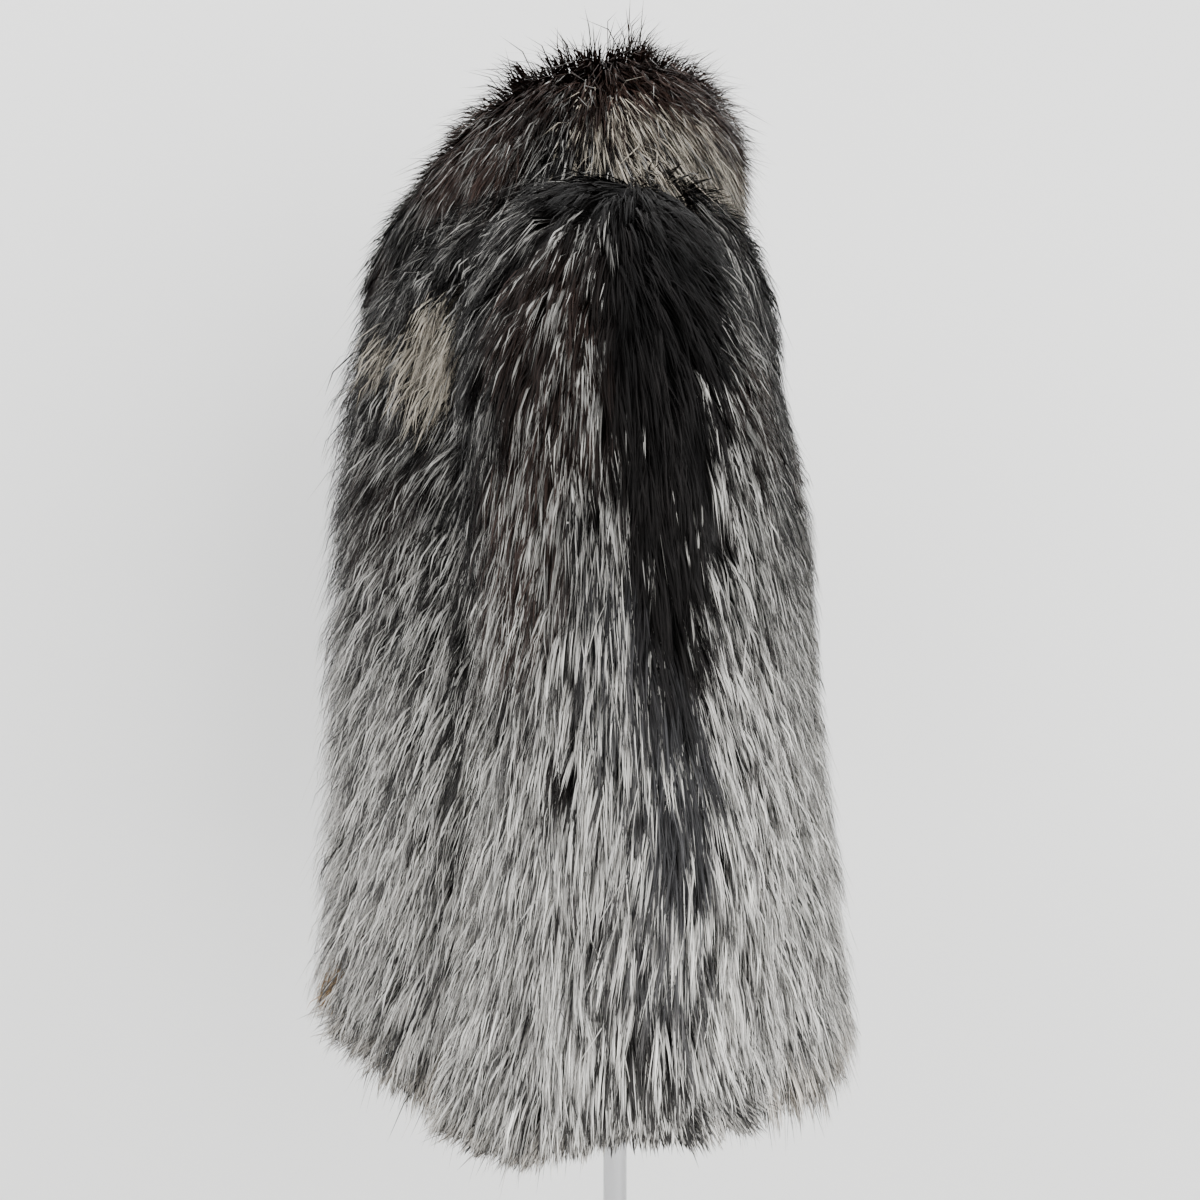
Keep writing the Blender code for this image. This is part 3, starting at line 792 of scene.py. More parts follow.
        roll = rng.normal(0, HAIR_ROLL, count)[:, None]
        flat = unit(across * np.cos(roll) + normal * np.sin(roll))
        width = hair.width * rng.uniform(*HAIR_WIDTH, count)
        sides = [
            line[:, k] + sign * flat * (0.5 * width * taper[k])[:, None]
            for k in range(hair.pairs) for sign in (-1, 1)
        ]
        points = np.stack(sides + [line[:, -1]], axis=1)
        each = points.shape[1]
        start = np.arange(count)[:, None] * each
        quads = np.concatenate([
            start + 2 * k + np.array((0, 2, 3, 1)) for k in range(hair.pairs - 1)
        ])
        tris = start + np.array((each - 3, each - 1, each - 2))

        # shading directions lean to each side of the ribbon, so that it shades like a round lock
        tilt = unit(normal + 0.20 * flow * rng.normal(0, 1, count)[:, None])
        lean = np.array((-ROUNDING, ROUNDING) * hair.pairs + (0.0,))
        shading = unit(tilt[:, None, :] + lean[None, :, None] * flat[:, None, :])
        band, dark, start_v, end_v = self.colours(own, hair.pale, palette, rng)
        along = np.append(np.repeat(stations[:-1], 2), 1.0)[None, :] - start_v[:, None]
        along = along / (end_v - start_v)[:, None]
        stripes = np.array((-0.5, 0.5) * hair.pairs + (0.0,))[None, :] * (width / PAINTED_HAIR)[:, None]
        strand = np.stack((stripes + rng.uniform(0, 900, count)[:, None], along), axis=-1)
        return Mesh(
            points.reshape(-1, 3), quads, tris, shading.reshape(-1, 3), np.repeat(band, each, axis=0),
            np.repeat(dark, each, axis=0), strand.reshape(-1, 2), each=each,
        )

    def colours(
        self, own: Array, pale_share: float, palette: Palette, rng: np.random.Generator
    ) -> tuple[Array, ...]:
        """Band colour, dark colour and where the band starts and ends, hair by hair.

        Args:
            own: each hair's tuft.
            pale_share: share of banded hairs in a silver tuft.
            palette: the colours.
            rng: random numbers.
        """
        count = len(own)
        get = {tone: self.shares[tone][own] for tone in Tone}
        z = self.face[own][:, 2]
        banded = np.where(self.silver[own], pale_share, STRAY * get[Tone.SILVER])
        pale = rng.uniform(size=count) < banded
        cream = rng.uniform(size=count) < get[Tone.CREAM]
        gold = rng.uniform(size=count) < get[Tone.GOLD]
        dark = blend(palette.black, palette.brown, get[Tone.BROWN] * rng.uniform(*BROWNING, count))
        dark = blend(dark, palette.slate, get[Tone.SLATE] * rng.uniform(*SLATING, count))
        ashen = (1 - get[Tone.BLACK]) * self.low_down[own]
        dark = blend(dark, palette.ash, ashen * rng.uniform(*ASHING, count))
        band = blend(palette.grey, palette.white, rng.beta(*WHITENESS, count))
        tanned = TANNED * rng.uniform(size=count) + TANNED_AT_HEM * smooth(z, *HEM_HEIGHTS)
        band = blend(band, palette.tan, tanned)
        creamy = blend(palette.tan, palette.cream, rng.beta(*CREAMINESS, count))
        golden = blend(palette.brown, palette.gold, rng.beta(*GOLDENNESS, count))
        band = np.where(cream[:, None], creamy, band)
        band = np.where(gold[:, None], golden, band)
        tint = np.where(cream, CREAM_TINT[0] + CREAM_TINT[1] * self.tint[own], self.tint[own])
        shade = (tint * rng.uniform(*HAIR_SHADE, count))[:, None]
        sparse = np.where(cream, 1 - get[Tone.CREAM], 0.0)
        start = self.band_from[own] + rng.normal(0, HAIR_BAND[0], count)
        end = self.band_to[own] + rng.normal(0, HAIR_BAND[1], count)
        start = np.where(cream | gold, PATCH_FROM[0] + PATCH_FROM[1] * sparse, start)
        end = np.where(cream | gold, PATCH_TO[0] + PATCH_TO[1] * sparse, end)
        off = ~(pale | cream | gold)
        start, end = np.where(off, NO_BAND[0], start), np.where(off, NO_BAND[1], end)
        shade_dark = shade + (1 - shade) * (BROWN_KEPT * get[Tone.BROWN])[:, None]
        return band * shade, dark * shade_dark, start, end


def blend(a: Array, b: Array, t: Array) -> Array:
    """Colours a part of the way t from a to b, row by row."""
    t = np.clip(t, 0.0, 1.0)[:, None]
    return np.asarray(a) * (1 - t) + np.asarray(b) * t


def join_hair(parts: list[Mesh]) -> Mesh:
    """Join the kinds of hair of a piece, and give every hair its own cell of the unit square."""
    first = np.cumsum([0] + [len(part.points) for part in parts[:-1]])
    counts = [len(part.points) // part.each for part in parts]
    side = int(math.ceil(math.sqrt(sum(counts))))
    cells = []
    for part, count, before in zip(parts, counts, (0, counts[0])):
        number = before + np.arange(count)
        pairs = part.each // 2
        u = np.array((0.12, 0.88) * pairs + (0.5,))
        v = np.append(np.repeat(np.linspace(0.06, 0.70, pairs), 2), 0.94)
        corner = np.stack((number % side, number // side), axis=-1)[:, None, :]
        cells.append(((corner + np.stack((u, v), axis=-1)[None]) / side).reshape(-1, 2))

    def stacked(pick: Callable[[Mesh], Array]) -> Array:
        """One array of every part's values."""
        return np.concatenate([pick(part) for part in parts])

    return Mesh(
        stacked(lambda p: p.points),
        np.concatenate([part.quads + at for part, at in zip(parts, first)]),
        np.concatenate([part.tris + at for part, at in zip(parts, first)]),
        stacked(lambda p: p.normals), stacked(lambda p: p.colours), stacked(lambda p: p.darks),
        stacked(lambda p: p.strand), np.concatenate(cells),
    )


# ================================================================ finishes
Socket = bpy.types.NodeSocket


def new_material(
    name: str, **shading: object
) -> tuple[bpy.types.Material, bpy.types.NodeTree, bpy.types.Node]:
    """A node material, its tree and its Principled shader, with some of the shader's inputs set."""
    made = bpy.data.materials.new(name)
    made.use_nodes = True
    shader = made.node_tree.nodes["Principled BSDF"]
    for key, value in shading.items():
        shader.inputs[key.replace("_", " ")].default_value = value
    return made, made.node_tree, shader


def node(tree: bpy.types.NodeTree, kind: str, *first: object, **values: object) -> bpy.types.Node:
    """Add a node.

    Args:
        tree: the tree it goes in.
        kind: the node's type.
        first: what its first inputs take, in their order: a socket is linked, a value is set.
        values: the same for an input of that name, with _ for a space; or else a property.
    """
    made = tree.nodes.new(kind)
    taken = dict(enumerate(first))
    for key, value in values.items():
        if key.replace("_", " ") in made.inputs:
            taken[key.replace("_", " ")] = value
        else:
            setattr(made, key, value)
    for key, value in taken.items():
        if isinstance(value, Socket):
            tree.links.new(value, made.inputs[key])
        else:
            made.inputs[key].default_value = value
    return made


def ranged(tree: bpy.types.NodeTree, value: Socket, *ends: float, curve: str = "LINEAR") -> Socket:
    """Take a value's low..high to start..end, the four numbers in ends."""
    return node(tree, "ShaderNodeMapRange", value, *ends, interpolation_type=curve).outputs["Result"]


def scaled(tree: bpy.types.NodeTree, colour: object, factor: Socket) -> Socket:
    """A colour times a factor."""
    return node(tree, "ShaderNodeVectorMath", colour, operation="SCALE", Scale=factor).outputs["Vector"]


def layer(tree: bpy.types.NodeTree, name: str) -> Socket:
    """A colour that the mesh carries."""
    return node(tree, "ShaderNodeVertexColor", layer_name=name).outputs["Color"]


def math_node(tree: bpy.types.NodeTree, operation: str, *values: object) -> Socket:
    """One sum or product of the values."""
    return node(tree, "ShaderNodeMath", *values, operation=operation).outputs["Value"]


def noise(
    tree: bpy.types.NodeTree, place: Socket, scale: float, detail: float, **values: object
) -> Socket:
    """Cloudy noise at a place."""
    made = node(tree, "ShaderNodeTexNoise", place, Scale=scale, Detail=detail, **values)
    return made.outputs["Fac"]


def local_place(tree: bpy.types.NodeTree) -> Socket:
    """Place in the object's own metres."""
    return node(tree, "ShaderNodeTexCoord").outputs["Object"]


@dataclass(frozen=True)
class FurFinish:
    """Guard hair: every ribbon is striped lengthwise as the hairs that it carries.

    The strand map's first number counts hairs across, its second runs from 0 to 1 over the pale
    band.  Noise moves the band's two ends from hair to hair and makes some hairs darker.  The
    streaks' sizes are how fast their noise changes across and along the hair.
    """

    name: str
    roughness: float = 0.55
    specular: float = 0.09
    band_streaks: tuple = (1.5, 0.22)
    shade_streaks: tuple = (2.1, 0.60)
    raggedness: float = 1.1
    band_start: tuple = (0.36, 0.78)
    band_end: tuple = (1.30, 1.70)
    dark_range: tuple = (0.32, 0.74, 0.40, 2.1)
    pale_range: tuple = (0.37, 0.56, 0.22, 1.10)

    def build(self) -> bpy.types.Material:
        """Make the material."""
        made, tree, shader = new_material(
            self.name, Roughness=self.roughness, Specular_IOR_Level=self.specular
        )
        strand = node(tree, "ShaderNodeUVMap", uv_map="strand").outputs["UV"]

        def streaks(across: float, along: float) -> Socket:
            """Noise that is long and thin along the hair."""
            stretch = node(tree, "ShaderNodeMapping", strand, Scale=(across, along, 1.0))
            return noise(tree, stretch.outputs["Vector"], 1.0, 1.0, noise_dimensions="2D")

        def curved(value: Socket, *ends: float) -> Socket:
            """Take low..high to start..end along an S."""
            return ranged(tree, value, *ends, curve="SMOOTHSTEP")

        up = node(tree, "ShaderNodeSeparateXYZ", strand).outputs["Y"]
        moved = streaks(*self.band_streaks)
        ragged = math_node(tree, "MULTIPLY_ADD", moved, self.raggedness, up)
        rise = curved(ragged, *self.band_start, 0.0, 1.0)
        band = math_node(tree, "MULTIPLY", rise, curved(ragged, *self.band_end, 1.0, 0.0))
        fine = streaks(*self.shade_streaks)
        mix = node(tree, "ShaderNodeMix", data_type="RGBA")
        dark = scaled(tree, layer(tree, "fur_dark"), curved(fine, *self.dark_range))
        pale = scaled(tree, layer(tree, "fur_tone"), curved(fine, *self.pale_range))
        factor, first, second, result = 0, 6, 7, 2  # the Mix node's sockets for colours, by number
        for place, socket in ((factor, band), (first, dark), (second, pale)):
            tree.links.new(socket, mix.inputs[place])
        tree.links.new(mix.outputs[result], shader.inputs["Base Color"])
        return made


@dataclass(frozen=True)
class SkinFinish:
    """Underfur and skin seen between the hairs: mottled, with fine streaks that run down."""

    name: str
    streaks: tuple = (420.0, 420.0, 34.0)
    shade_range: tuple = (0.35, 0.68, 0.45, 1.7)

    def build(self) -> bpy.types.Material:
        """Make the material."""
        made, tree, shader = new_material(self.name, Roughness=0.9, Specular_IOR_Level=0.1)
        stretch = node(tree, "ShaderNodeMapping", local_place(tree), Scale=self.streaks)
        streak = noise(tree, stretch.outputs["Vector"], 1.0, 4.0, Roughness=0.6)
        colour = scaled(tree, layer(tree, "fur_tone"), ranged(tree, streak, *self.shade_range))
        bump = node(tree, "ShaderNodeBump", Strength=0.5, Distance=0.002, Height=streak)
        tree.links.new(colour, shader.inputs["Base Color"])
        tree.links.new(bump.outputs["Normal"], shader.inputs["Normal"])
        return made


@dataclass(frozen=True)
class MetalFinish:
    """Plated or brushed metal."""

    name: str
    colour: tuple
    roughness: float
    grain: float

    def build(self) -> bpy.types.Material:
        """Make the material; grain adds faint uneven polish."""
        made, tree, shader = new_material(self.name, Base_Color=(*self.colour, 1.0), Metallic=1.0)
        cloud = noise(tree, local_place(tree), 22.0, 5.0, Roughness=0.6)
        smoothest, roughest = self.roughness - self.grain, self.roughness + self.grain
        polish = ranged(tree, cloud, 0.3, 0.7, smoothest, roughest)
        tree.links.new(polish, shader.inputs["Roughness"])
        return made


@dataclass(frozen=True)
class WeaveFinish:
    """Plain woven cover of the form."""

    name: str
    colour: tuple
    thread: float = 0.0011

    def build(self) -> bpy.types.Material:
        """Make the material: two crossed sets of threads as bump, faint cloudiness as colour."""
        made, tree, shader = new_material(self.name, Roughness=0.88, Sheen_Weight=0.15)
        place = local_place(tree)
        wave_factor = 20  # the wave texture multiplies its place by this
        size = 1.0 / (self.thread * wave_factor)
        waves = [
            node(
                tree, "ShaderNodeTexWave", place, Scale=size, Distortion=0.6, bands_direction=direction
            ).outputs["Fac"]
            for direction in ("X", "Z")
        ]
        both = math_node(tree, "MULTIPLY", *waves)
        bump = node(tree, "ShaderNodeBump", Strength=0.35, Distance=0.0006, Height=both)
        cloud = noise(tree, place, 14.0, 4.0)
        colour = scaled(tree, self.colour, ranged(tree, cloud, 0.3, 0.7, 0.88, 1.06))
        tree.links.new(colour, shader.inputs["Base Color"])
        tree.links.new(bump.outputs["Normal"], shader.inputs["Normal"])
        return made


@dataclass(frozen=True)
class WoodFinish:
    """Varnished turned wood."""

    name: str
    light: tuple = (0.36, 0.20, 0.10)
    dark: tuple = (0.17, 0.085, 0.04)

    def build(self) -> bpy.types.Material:
        """Make the material: rings about the x axis, bent by noise."""
        made, tree, shader = new_material(self.name, Roughness=0.38)
        rings = node(
            tree, "ShaderNodeTexWave", local_place(tree), Scale=26.0, Distortion=5.0, Detail=3.0,
            wave_type="RINGS", rings_direction="X",
        )
        ramp = node(tree, "ShaderNodeValToRGB", rings.outputs["Fac"])
        for element, colour in zip(ramp.color_ramp.elements, (self.dark, self.light)):
            element.color = (*colour, 1.0)
        tree.links.new(ramp.outputs["Color"], shader.inputs["Base Color"])
        return made


# ================================================================ the jacket
WALL = 0.018  # depth of the body's and the sleeves' CAD wall
SKIN_DEPTH = 0.008  # how far under the wall's outer face the skin lies
ROOM_SHARE, ROOM, ROOM_ABOVE = 0.03, 0.0088, 0.05  # how far hair may pass the CAD's box
PANEL_GRID, PANEL_FINE = (46, 26), (120, 70)  # rows and columns of each skin and its patch
SLEEVE_GRID, SLEEVE_FINE = (48, 64), (120, 180)
COLLAR_GRID, COLLAR_FINE = (44, 40), (90, 90)


@dataclass(frozen=True)
class Cut:
    """A piece's flat cut: width and length of the rectangle it comes from, and its own area."""

    width: float
    length: float
    area: float


@dataclass
class FurPiece:
    """One sewn piece of the jacket: a skin shell and the guard hair on it.

    face and lining are the shell's two grids.  pull is the way the hair lies at a place, and
    weight how thickly it grows there.  A mirrored piece is made on the left and turned over.
    """

    name: str
    face: Array
    lining: Array
    wrap: bool
    patch: Patch
    pelt: Pelt
    coat: Coat
    cut: Cut
    slot: str
    pull: Callable[[Array], Array]
    weight: Callable[[Array, Array], Array]
    mirror: bool = False

    def build(self, palette: Palette, skin: bpy.types.Material, fur: bpy.types.Material) -> None:
        """Build the shell and the hair, hang them under the root and hide the CAD part that they stand
        for.
        """
        flip = np.array((-1.0 if self.mirror else 1.0, 1.0, 1.0))
        shell = wall(self.face, self.lining, self.wrap)
        turned = facing_out(shell)
        shares = self.pelt.shares(shell.points)
        tints = (np.outer(shares[tone], tint) for tone, tint in palette.skin_tints)
        # the skin is darker under BLACK marks, painted shadows beside the sleeves among them
        shell.colours = sum(tints, np.asarray(palette.under)) * (1 - 0.6 * shares[Tone.BLACK])[:, None]
        shell.colours[len(shell.points) // 2 :] = palette.lining
        shell.points = shell.points * flip
        body = shell.build(f"{self.name}_skin", skin, flip=turned == self.mirror)

        low, high = (np.array(corner) for corner in CAD_BOX)
        room = ROOM_SHARE * (high - low) + ROOM
        limits = (low - room, high + room)
        limits[0][2], limits[1][2] = 0.0, high[2] + ROOM_ABOVE
        tufts = Tufts(self.patch, self.coat, self.pelt, self.pull, self.weight, WALL)
        rng = np.random.default_rng(self.coat.seed + 1000)
        ribbons = join_hair([tufts.grow(kind, palette, limits, rng) for kind in self.coat.kinds()])
        ribbons.points = ribbons.points * flip
        ribbons.normals = ribbons.normals * flip
        hair = ribbons.build(f"{self.name}_hair", fur, flip=self.mirror)
        for made in (body, hair):
            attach(made, "root")
        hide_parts(self.name)


@dataclass
class Jacket:
    """The whole jacket: back, two fronts, two sleeves and a collar."""

    body: BodyCut = field(default_factory=BodyCut)
    palette: Palette = field(default_factory=Palette)

    # share of white-banded tufts at each height
    body_silver: tuple = (
        (0.66, 0.92), (0.86, 0.90), (0.98, 0.84), (1.10, 0.68), (1.24, 0.44), (1.42, 0.28),
    )
    sleeve_silver: tuple = (
        (0.66, 0.92), (0.84, 0.90), (0.96, 0.84), (1.06, 0.70), (1.18, 0.55), (1.38, 0.46),
    )
    body_folds: tuple = (
        Fold(24.0, 7.0, -0.0055, 1.10, 0.80),
        Fold(47.0, 6.0, -0.0070, 1.15, 0.78),
        Fold(62.0, 7.0, 0.0040, 1.05, 0.76),
        Fold(128.0, 7.0, -0.0060, 1.12, 0.80),
        Fold(152.0, 8.0, 0.0045, 1.02, 0.78),
        Fold(168.0, 6.0, -0.0050, 1.08, 0.84),
    )
    sleeve_folds: tuple = (
        Fold(40.0, 13.0, -0.0045, 1.02, 0.86),
        Fold(100.0, 16.0, 0.0030, 0.98, 0.78),
        Fold(128.0, 11.0, -0.0050, 1.00, 0.80),
        Fold(165.0, 12.0, 0.0035, 1.04, 0.90),
    )
    cuff_rise: tuple = ((0.010, 0.060, 0.140), (0.0, 0.020, 0.022))  # y, then how much higher

    def panel_grids(self, start: float, rows: int, columns: int, whole: bool) -> tuple[Array, Array]:
        """Outer face and its normals for a panel; a whole back is the half and its mirror image.

        The normals come from steps to each side, and the folds move the face along them.
        """
        turn, rise = self.body.panel(start, rows, columns)
        if whole:
            turn = np.concatenate((turn[:, ::-1], 2 * math.pi - turn[:, 1:]), axis=1)
            rise = np.repeat(rise[:, :1], turn.shape[1], axis=1)
        grid = self.body.point(turn, rise)
        step = 1e-3
        point = self.body.point
        around = point(turn + step, rise) - point(turn - step, rise)
        above, below = np.minimum(rise + step, self.body.neck), np.maximum(rise - step, 0.0)
        normals = unit(np.cross(around, point(turn, above) - point(turn, below)))
        degrees = np.degrees(np.minimum(turn, 2 * math.pi - turn))
        lift = sum(fold.height(degrees, grid[..., 2]) for fold in self.body_folds)
        return grid + normals * lift[..., None], normals

    def panel_piece(
        self, name: str, start: float, pelt: Pelt, coat: Coat, cut: Cut,
        pull: Callable[[Array], Array], mirror: bool = False,
    ) -> FurPiece:
        """A front or the back, which is whole."""
        whole = name == "back"
        face, normals = self.panel_grids(start, *PANEL_GRID, whole)
        skin, lining = face - normals * SKIN_DEPTH, face - normals * WALL
        fine, _ = self.panel_grids(start, *PANEL_FINE, whole)
        level, ahead = np.array((1.0, 1.0, 0.0)), np.array((0.0, 0.03, 0.0))
        patch = Patch(fine[::-1], False, lambda points: points * level + ahead)

        def weight(points: Array, normals: Array) -> Array:
            """Thinner where the sleeve lies against the side."""
            x, y, z = np.moveaxis(points, -1, 0)
            hidden = smooth(x**2, 0.17**2, 0.19**2) * smooth(z, 1.2, 1.12)
            hidden = hidden * smooth(y, -0.05, -0.01) * smooth(y, 0.13, 0.10)
            return 1.0 - 0.7 * hidden

        return FurPiece(
            name, skin, lining, False, patch, pelt, coat, cut, "silver_fox_fur", pull, weight, mirror
        )

    def sleeve_piece(self, name: str, pelt: Pelt, coat: Coat, mirror: bool) -> FurPiece:
        """A sleeve; the right one is grown on the left's form and mirrored."""
        cut = SleeveCut(self.body)

        def folded(rows: int, columns: int, inset: float) -> Array:
            """The sleeve's rings with their folds, the cuff rising towards the back."""
            ring = cut.grid(rows, columns, inset)
            centre = ring.mean(axis=1, keepdims=True)
            degrees = np.linspace(0, 360, columns, endpoint=False)[None, :] + 0 * ring[..., 2]
            lift = sum(fold.height(degrees, ring[..., 2]) for fold in self.sleeve_folds)
            ring = ring + unit(ring - centre) * lift[..., None]
            rise = np.interp(ring[..., 1], *self.cuff_rise) * smooth(ring[..., 2], 0.82, 0.66)
            return ring + rise[..., None] * np.array((0.0, 0.0, 1.0))

        skin, lining = folded(*SLEEVE_GRID, SKIN_DEPTH), folded(*SLEEVE_GRID, WALL)
        patch = Patch(folded(*SLEEVE_FINE, 0.0), True, lambda p: p - p.mean(axis=1, keepdims=True))

        def pull(points: Array) -> Array:
            """Away from the whorl at the shoulder's top; straight down once far below it.

            The fan turns half as much to the front, and sways by up to 5 and 8 degrees.
            """
            y, down = points[:, 1] - 0.072, 1.375 - points[:, 2]
            y = np.where(y < 0, 0.50 * y, y)
            fan = np.arctan2(y, np.maximum(down, 0.012)) * smooth(points[:, 2], 0.80, 1.12)
            fan = np.degrees(fan) + 5.0 * ripple(points, 0.09, 5) + 8.0 * ripple(points, 0.22, 6)
            fan = np.radians(fan)
            return np.stack((0 * fan, np.sin(fan), -np.cos(fan)), axis=1)

        def weight(points: Array, normals: Array) -> Array:
            """Thinner where the sleeve lies against the body."""
            inner = smooth(normals[..., 0], -0.35, -0.75)
            return 1.0 - 0.72 * inner * smooth(points[..., 2], 1.16, 1.10)

        flat = Cut(0.56, 0.70, 0.30)
        return FurPiece(
            name, skin, lining, True, patch, pelt, coat, flat, "silver_fox_fur", pull, weight, mirror
        )

    def collar_piece(self) -> FurPiece:
        """The collar, its hair running from the neck over the roll to the fall's edge."""
        cut = CollarCut(self.body)
        half = 0.5 * cut.wall
        skin, lining = cut.grid(*COLLAR_GRID, half + 0.002), cut.grid(*COLLAR_GRID, -half)
        hidden = 6  # rows at the foot, inside the neck
        fine, middle = (cut.grid(*COLLAR_FINE, outset)[hidden:] for outset in (half + 0.006, 0.0))
        patch = Patch(fine, False, lambda points: points - middle, follow_rows=True)
        pelt = Pelt(
            silver=((1.25, 0.40), (1.36, 0.44), (1.44, 0.42), (1.49, 0.14)),
            marks=marks(
                CREAM=((0.066, 1.430, 0.072, 0.036, 0.66), (0.112, 1.440, 0.040, 0.036, 0.78)),
                BROWN=((0.030, 1.505, 0.170, 0.050, 1.0), (-0.085, 1.455, 0.060, 0.050, 0.9)),
                BLACK=((-0.020, 1.470, 0.040, 0.040, 0.3), (-0.150, 1.330, 0.050, 0.030, 0.7)),
            ),
            brown=0.6, seed=41,
        )
        coat = Coat(
            11500, 32000, length=0.056, pile=0.027, root_depth=0.004, lock_width=0.0016, draw=0.12,
            cling=0.60, sag=0.12, fluff=2.2, crest=0.9, low_front=0.42, overhang=None, seed=71,
        )

        def pull(points: Array) -> Array:
            """Out towards the back behind the shoulder's top, towards the front before it."""
            sway = 0.14 * ripple(points, 0.07, 17)
            fan = np.clip((points[:, 1] - 0.010) / 0.05, -0.6, 1.0) * 0.62
            inward = -0.75 * np.sign(points[:, 0]) * smooth(np.abs(points[:, 0]), 0.06, 0.01)
            inward = inward * smooth(points[:, 1], -0.05, -0.12)
            return np.stack((0.5 * sway + inward, fan + sway, 0 * sway - 0.15), axis=1)

        def weight(points: Array, normals: Array) -> Array:
            """Thicker where the face looks up."""
            return 0.75 + 1.9 * np.clip(normals[..., 2], 0, 1)

        flat = Cut(0.72, 0.20, 0.105)
        return FurPiece(
            "collar", skin, lining, False, patch, pelt, coat, flat, "dark_fox_fur", pull, weight
        )

    def build(self) -> None:
        """Build every piece."""
        skin = SkinFinish("fox_underfur").build()
        fur = FurFinish("fox_guard_hair").build()
        collar_fur = FurFinish("fox_guard_hair_dark", roughness=0.42).build()
        seam = 0.5 * 0.003 / self.body.rings[-1][0]
        start = math.asin(seam ** (self.body.front_squareness / 2))

        def front_pull(points: Array) -> Array:
            """Towards the front edge high up, nearly straight down at the hem, over the gap between."""
            sway = 0.10 * ripple(points, 0.10, 23)
            across = sway - 0.08 - 0.24 * smooth(points[:, 2], 0.92, 1.28)
            inward = -0.34 * smooth(points[:, 0], 0.045, 0.004) * smooth(points[:, 1], -0.10, -0.16)
            return np.stack((inward, across, 0 * sway - 1.0), axis=1)

        def back_pull(points: Array) -> Array:
            """Away from the side seams, and away from the centre back's dark line."""
            sway = 0.10 * ripple(points, 0.10, 24)
            side = np.clip(points[:, 0] / 0.06, -1, 1)
            return np.stack((side * 0.10 + sway, 0 * sway + 0.20, 0 * sway - 1.0), axis=1)

        front = Pelt(
            silver=self.body_silver,
            marks=marks(
                CREAM=((-0.104, 1.266, 0.027, 0.046, 0.92), (-0.158, 1.280, 0.014, 0.020, 0.85)),
                # the second BLACK row is painted shadow on the front beside the sleeve's front edge
                BLACK=((-0.228, 1.235, 0.014, 0.080, 0.5), (-0.062, 1.000, 0.018, 0.360, 0.6)),
                BROWN=((-0.150, 1.150, 0.040, 0.060, 0.25),),
                SLATE=((-0.160, 0.980, 0.040, 0.110, 0.15),),
            ),
            seed=3,
        )
        golden = marks(GOLD=((-0.228, 0.722, 0.013, 0.020, 0.8),))
        left_front = replace(front, marks=front.marks + golden)
        back = Pelt(
            silver=self.body_silver,
            marks=marks(
                # this BLACK row is painted shadow on the back along the sleeve's back edge
                BLACK=((0.128, 0.860, 0.022, 0.220, 0.8),),
                SILVER=((0.180, 0.900, 0.040, 0.280, 1.0),),
            ),
            seed=9,
        )
        sleeve = Pelt(
            silver=self.sleeve_silver,
            marks=marks(
                BLACK=(
                    (0.080, 1.350, 0.060, 0.030, 1.0), (0.088, 1.280, 0.034, 0.130, 1.0, 0.04),
                    (0.099, 1.140, 0.024, 0.165, 0.95), (0.107, 0.960, 0.017, 0.110, 0.74, 0.03),
                    # the BLACK row at y -0.028, z 1.200 is a painted shadow line down the sleeve's front
                    # edge
                    (0.035, 0.954, 0.007, 0.020, 0.9), (-0.028, 1.200, 0.010, 0.190, 0.55),
                    (0.088, 0.760, 0.040, 0.070, 0.34),
                ),
                SLATE=(
                    (0.066, 1.030, 0.020, 0.070, 0.55, 0.02), (0.100, 0.900, 0.026, 0.120, 0.45, 0.03),
                ),
                BROWN=(
                    (0.006, 1.105, 0.030, 0.075, 0.6), (0.030, 1.230, 0.040, 0.080, 0.4),
                    (0.150, 1.270, 0.022, 0.090, 0.6),
                ),
                SILVER=(
                    (0.146, 1.265, 0.024, 0.075, 0.6), (0.158, 1.080, 0.030, 0.240, 1.0),
                    (0.155, 0.800, 0.020, 0.090, 0.8), (-0.030, 0.900, 0.020, 0.160, 0.6),
                ),
            ),
            seed=5,
        )
        wide, narrow = Cut(0.66, 0.76, 0.40), Cut(0.37, 0.72, 0.22)
        panel = Coat(11400, 36000, overhang=(0.0, 0.026, 0.2, 0.026), seed=21)
        half = Coat(7200, 23000, pile=0.036, overhang=(-0.22, 0.000, -0.08, 0.030), seed=22)
        arm = Coat(
            12500, 40000, overhang=(0.02, 0.006, 0.12, -0.012), whorl=(0.225, 0.072, 1.350), seed=24
        )
        other_half, other_arm = replace(half, seed=23), replace(arm, seed=25)
        pieces = [
            self.panel_piece("back", math.pi, back, panel, wide, back_pull),
            self.panel_piece("front_left", start, left_front, half, narrow, front_pull),
            self.panel_piece("front_right", start, front, other_half, narrow, front_pull, True),
            self.sleeve_piece("sleeve_left", sleeve, arm, False),
            self.sleeve_piece("sleeve_right", sleeve, other_arm, True),
            self.collar_piece(),
        ]
        for piece in pieces:
            piece.build(self.palette, skin, collar_fur if piece.name == "collar" else fur)


# ================================================================ the stand
def capped(rings: Array, ends: tuple) -> Mesh:
    """Closed mesh of stacked rings, with a fan of triangles round the point at each end."""
    rows, sides = rings.shape[:2]
    ring = np.arange(sides)
    after, top, first = (ring + 1) % sides, (rows - 1) * sides, rows * sides
    fans = ((after, ring, first), (top + ring, top + after, first + 1))
    tris = np.concatenate([np.stack((a, b, np.full(sides, tip)), -1) for a, b, tip in fans])
    return Mesh(np.concatenate((rings.reshape(-1, 3), ends)), grid_quads(rows, sides, True), tris)


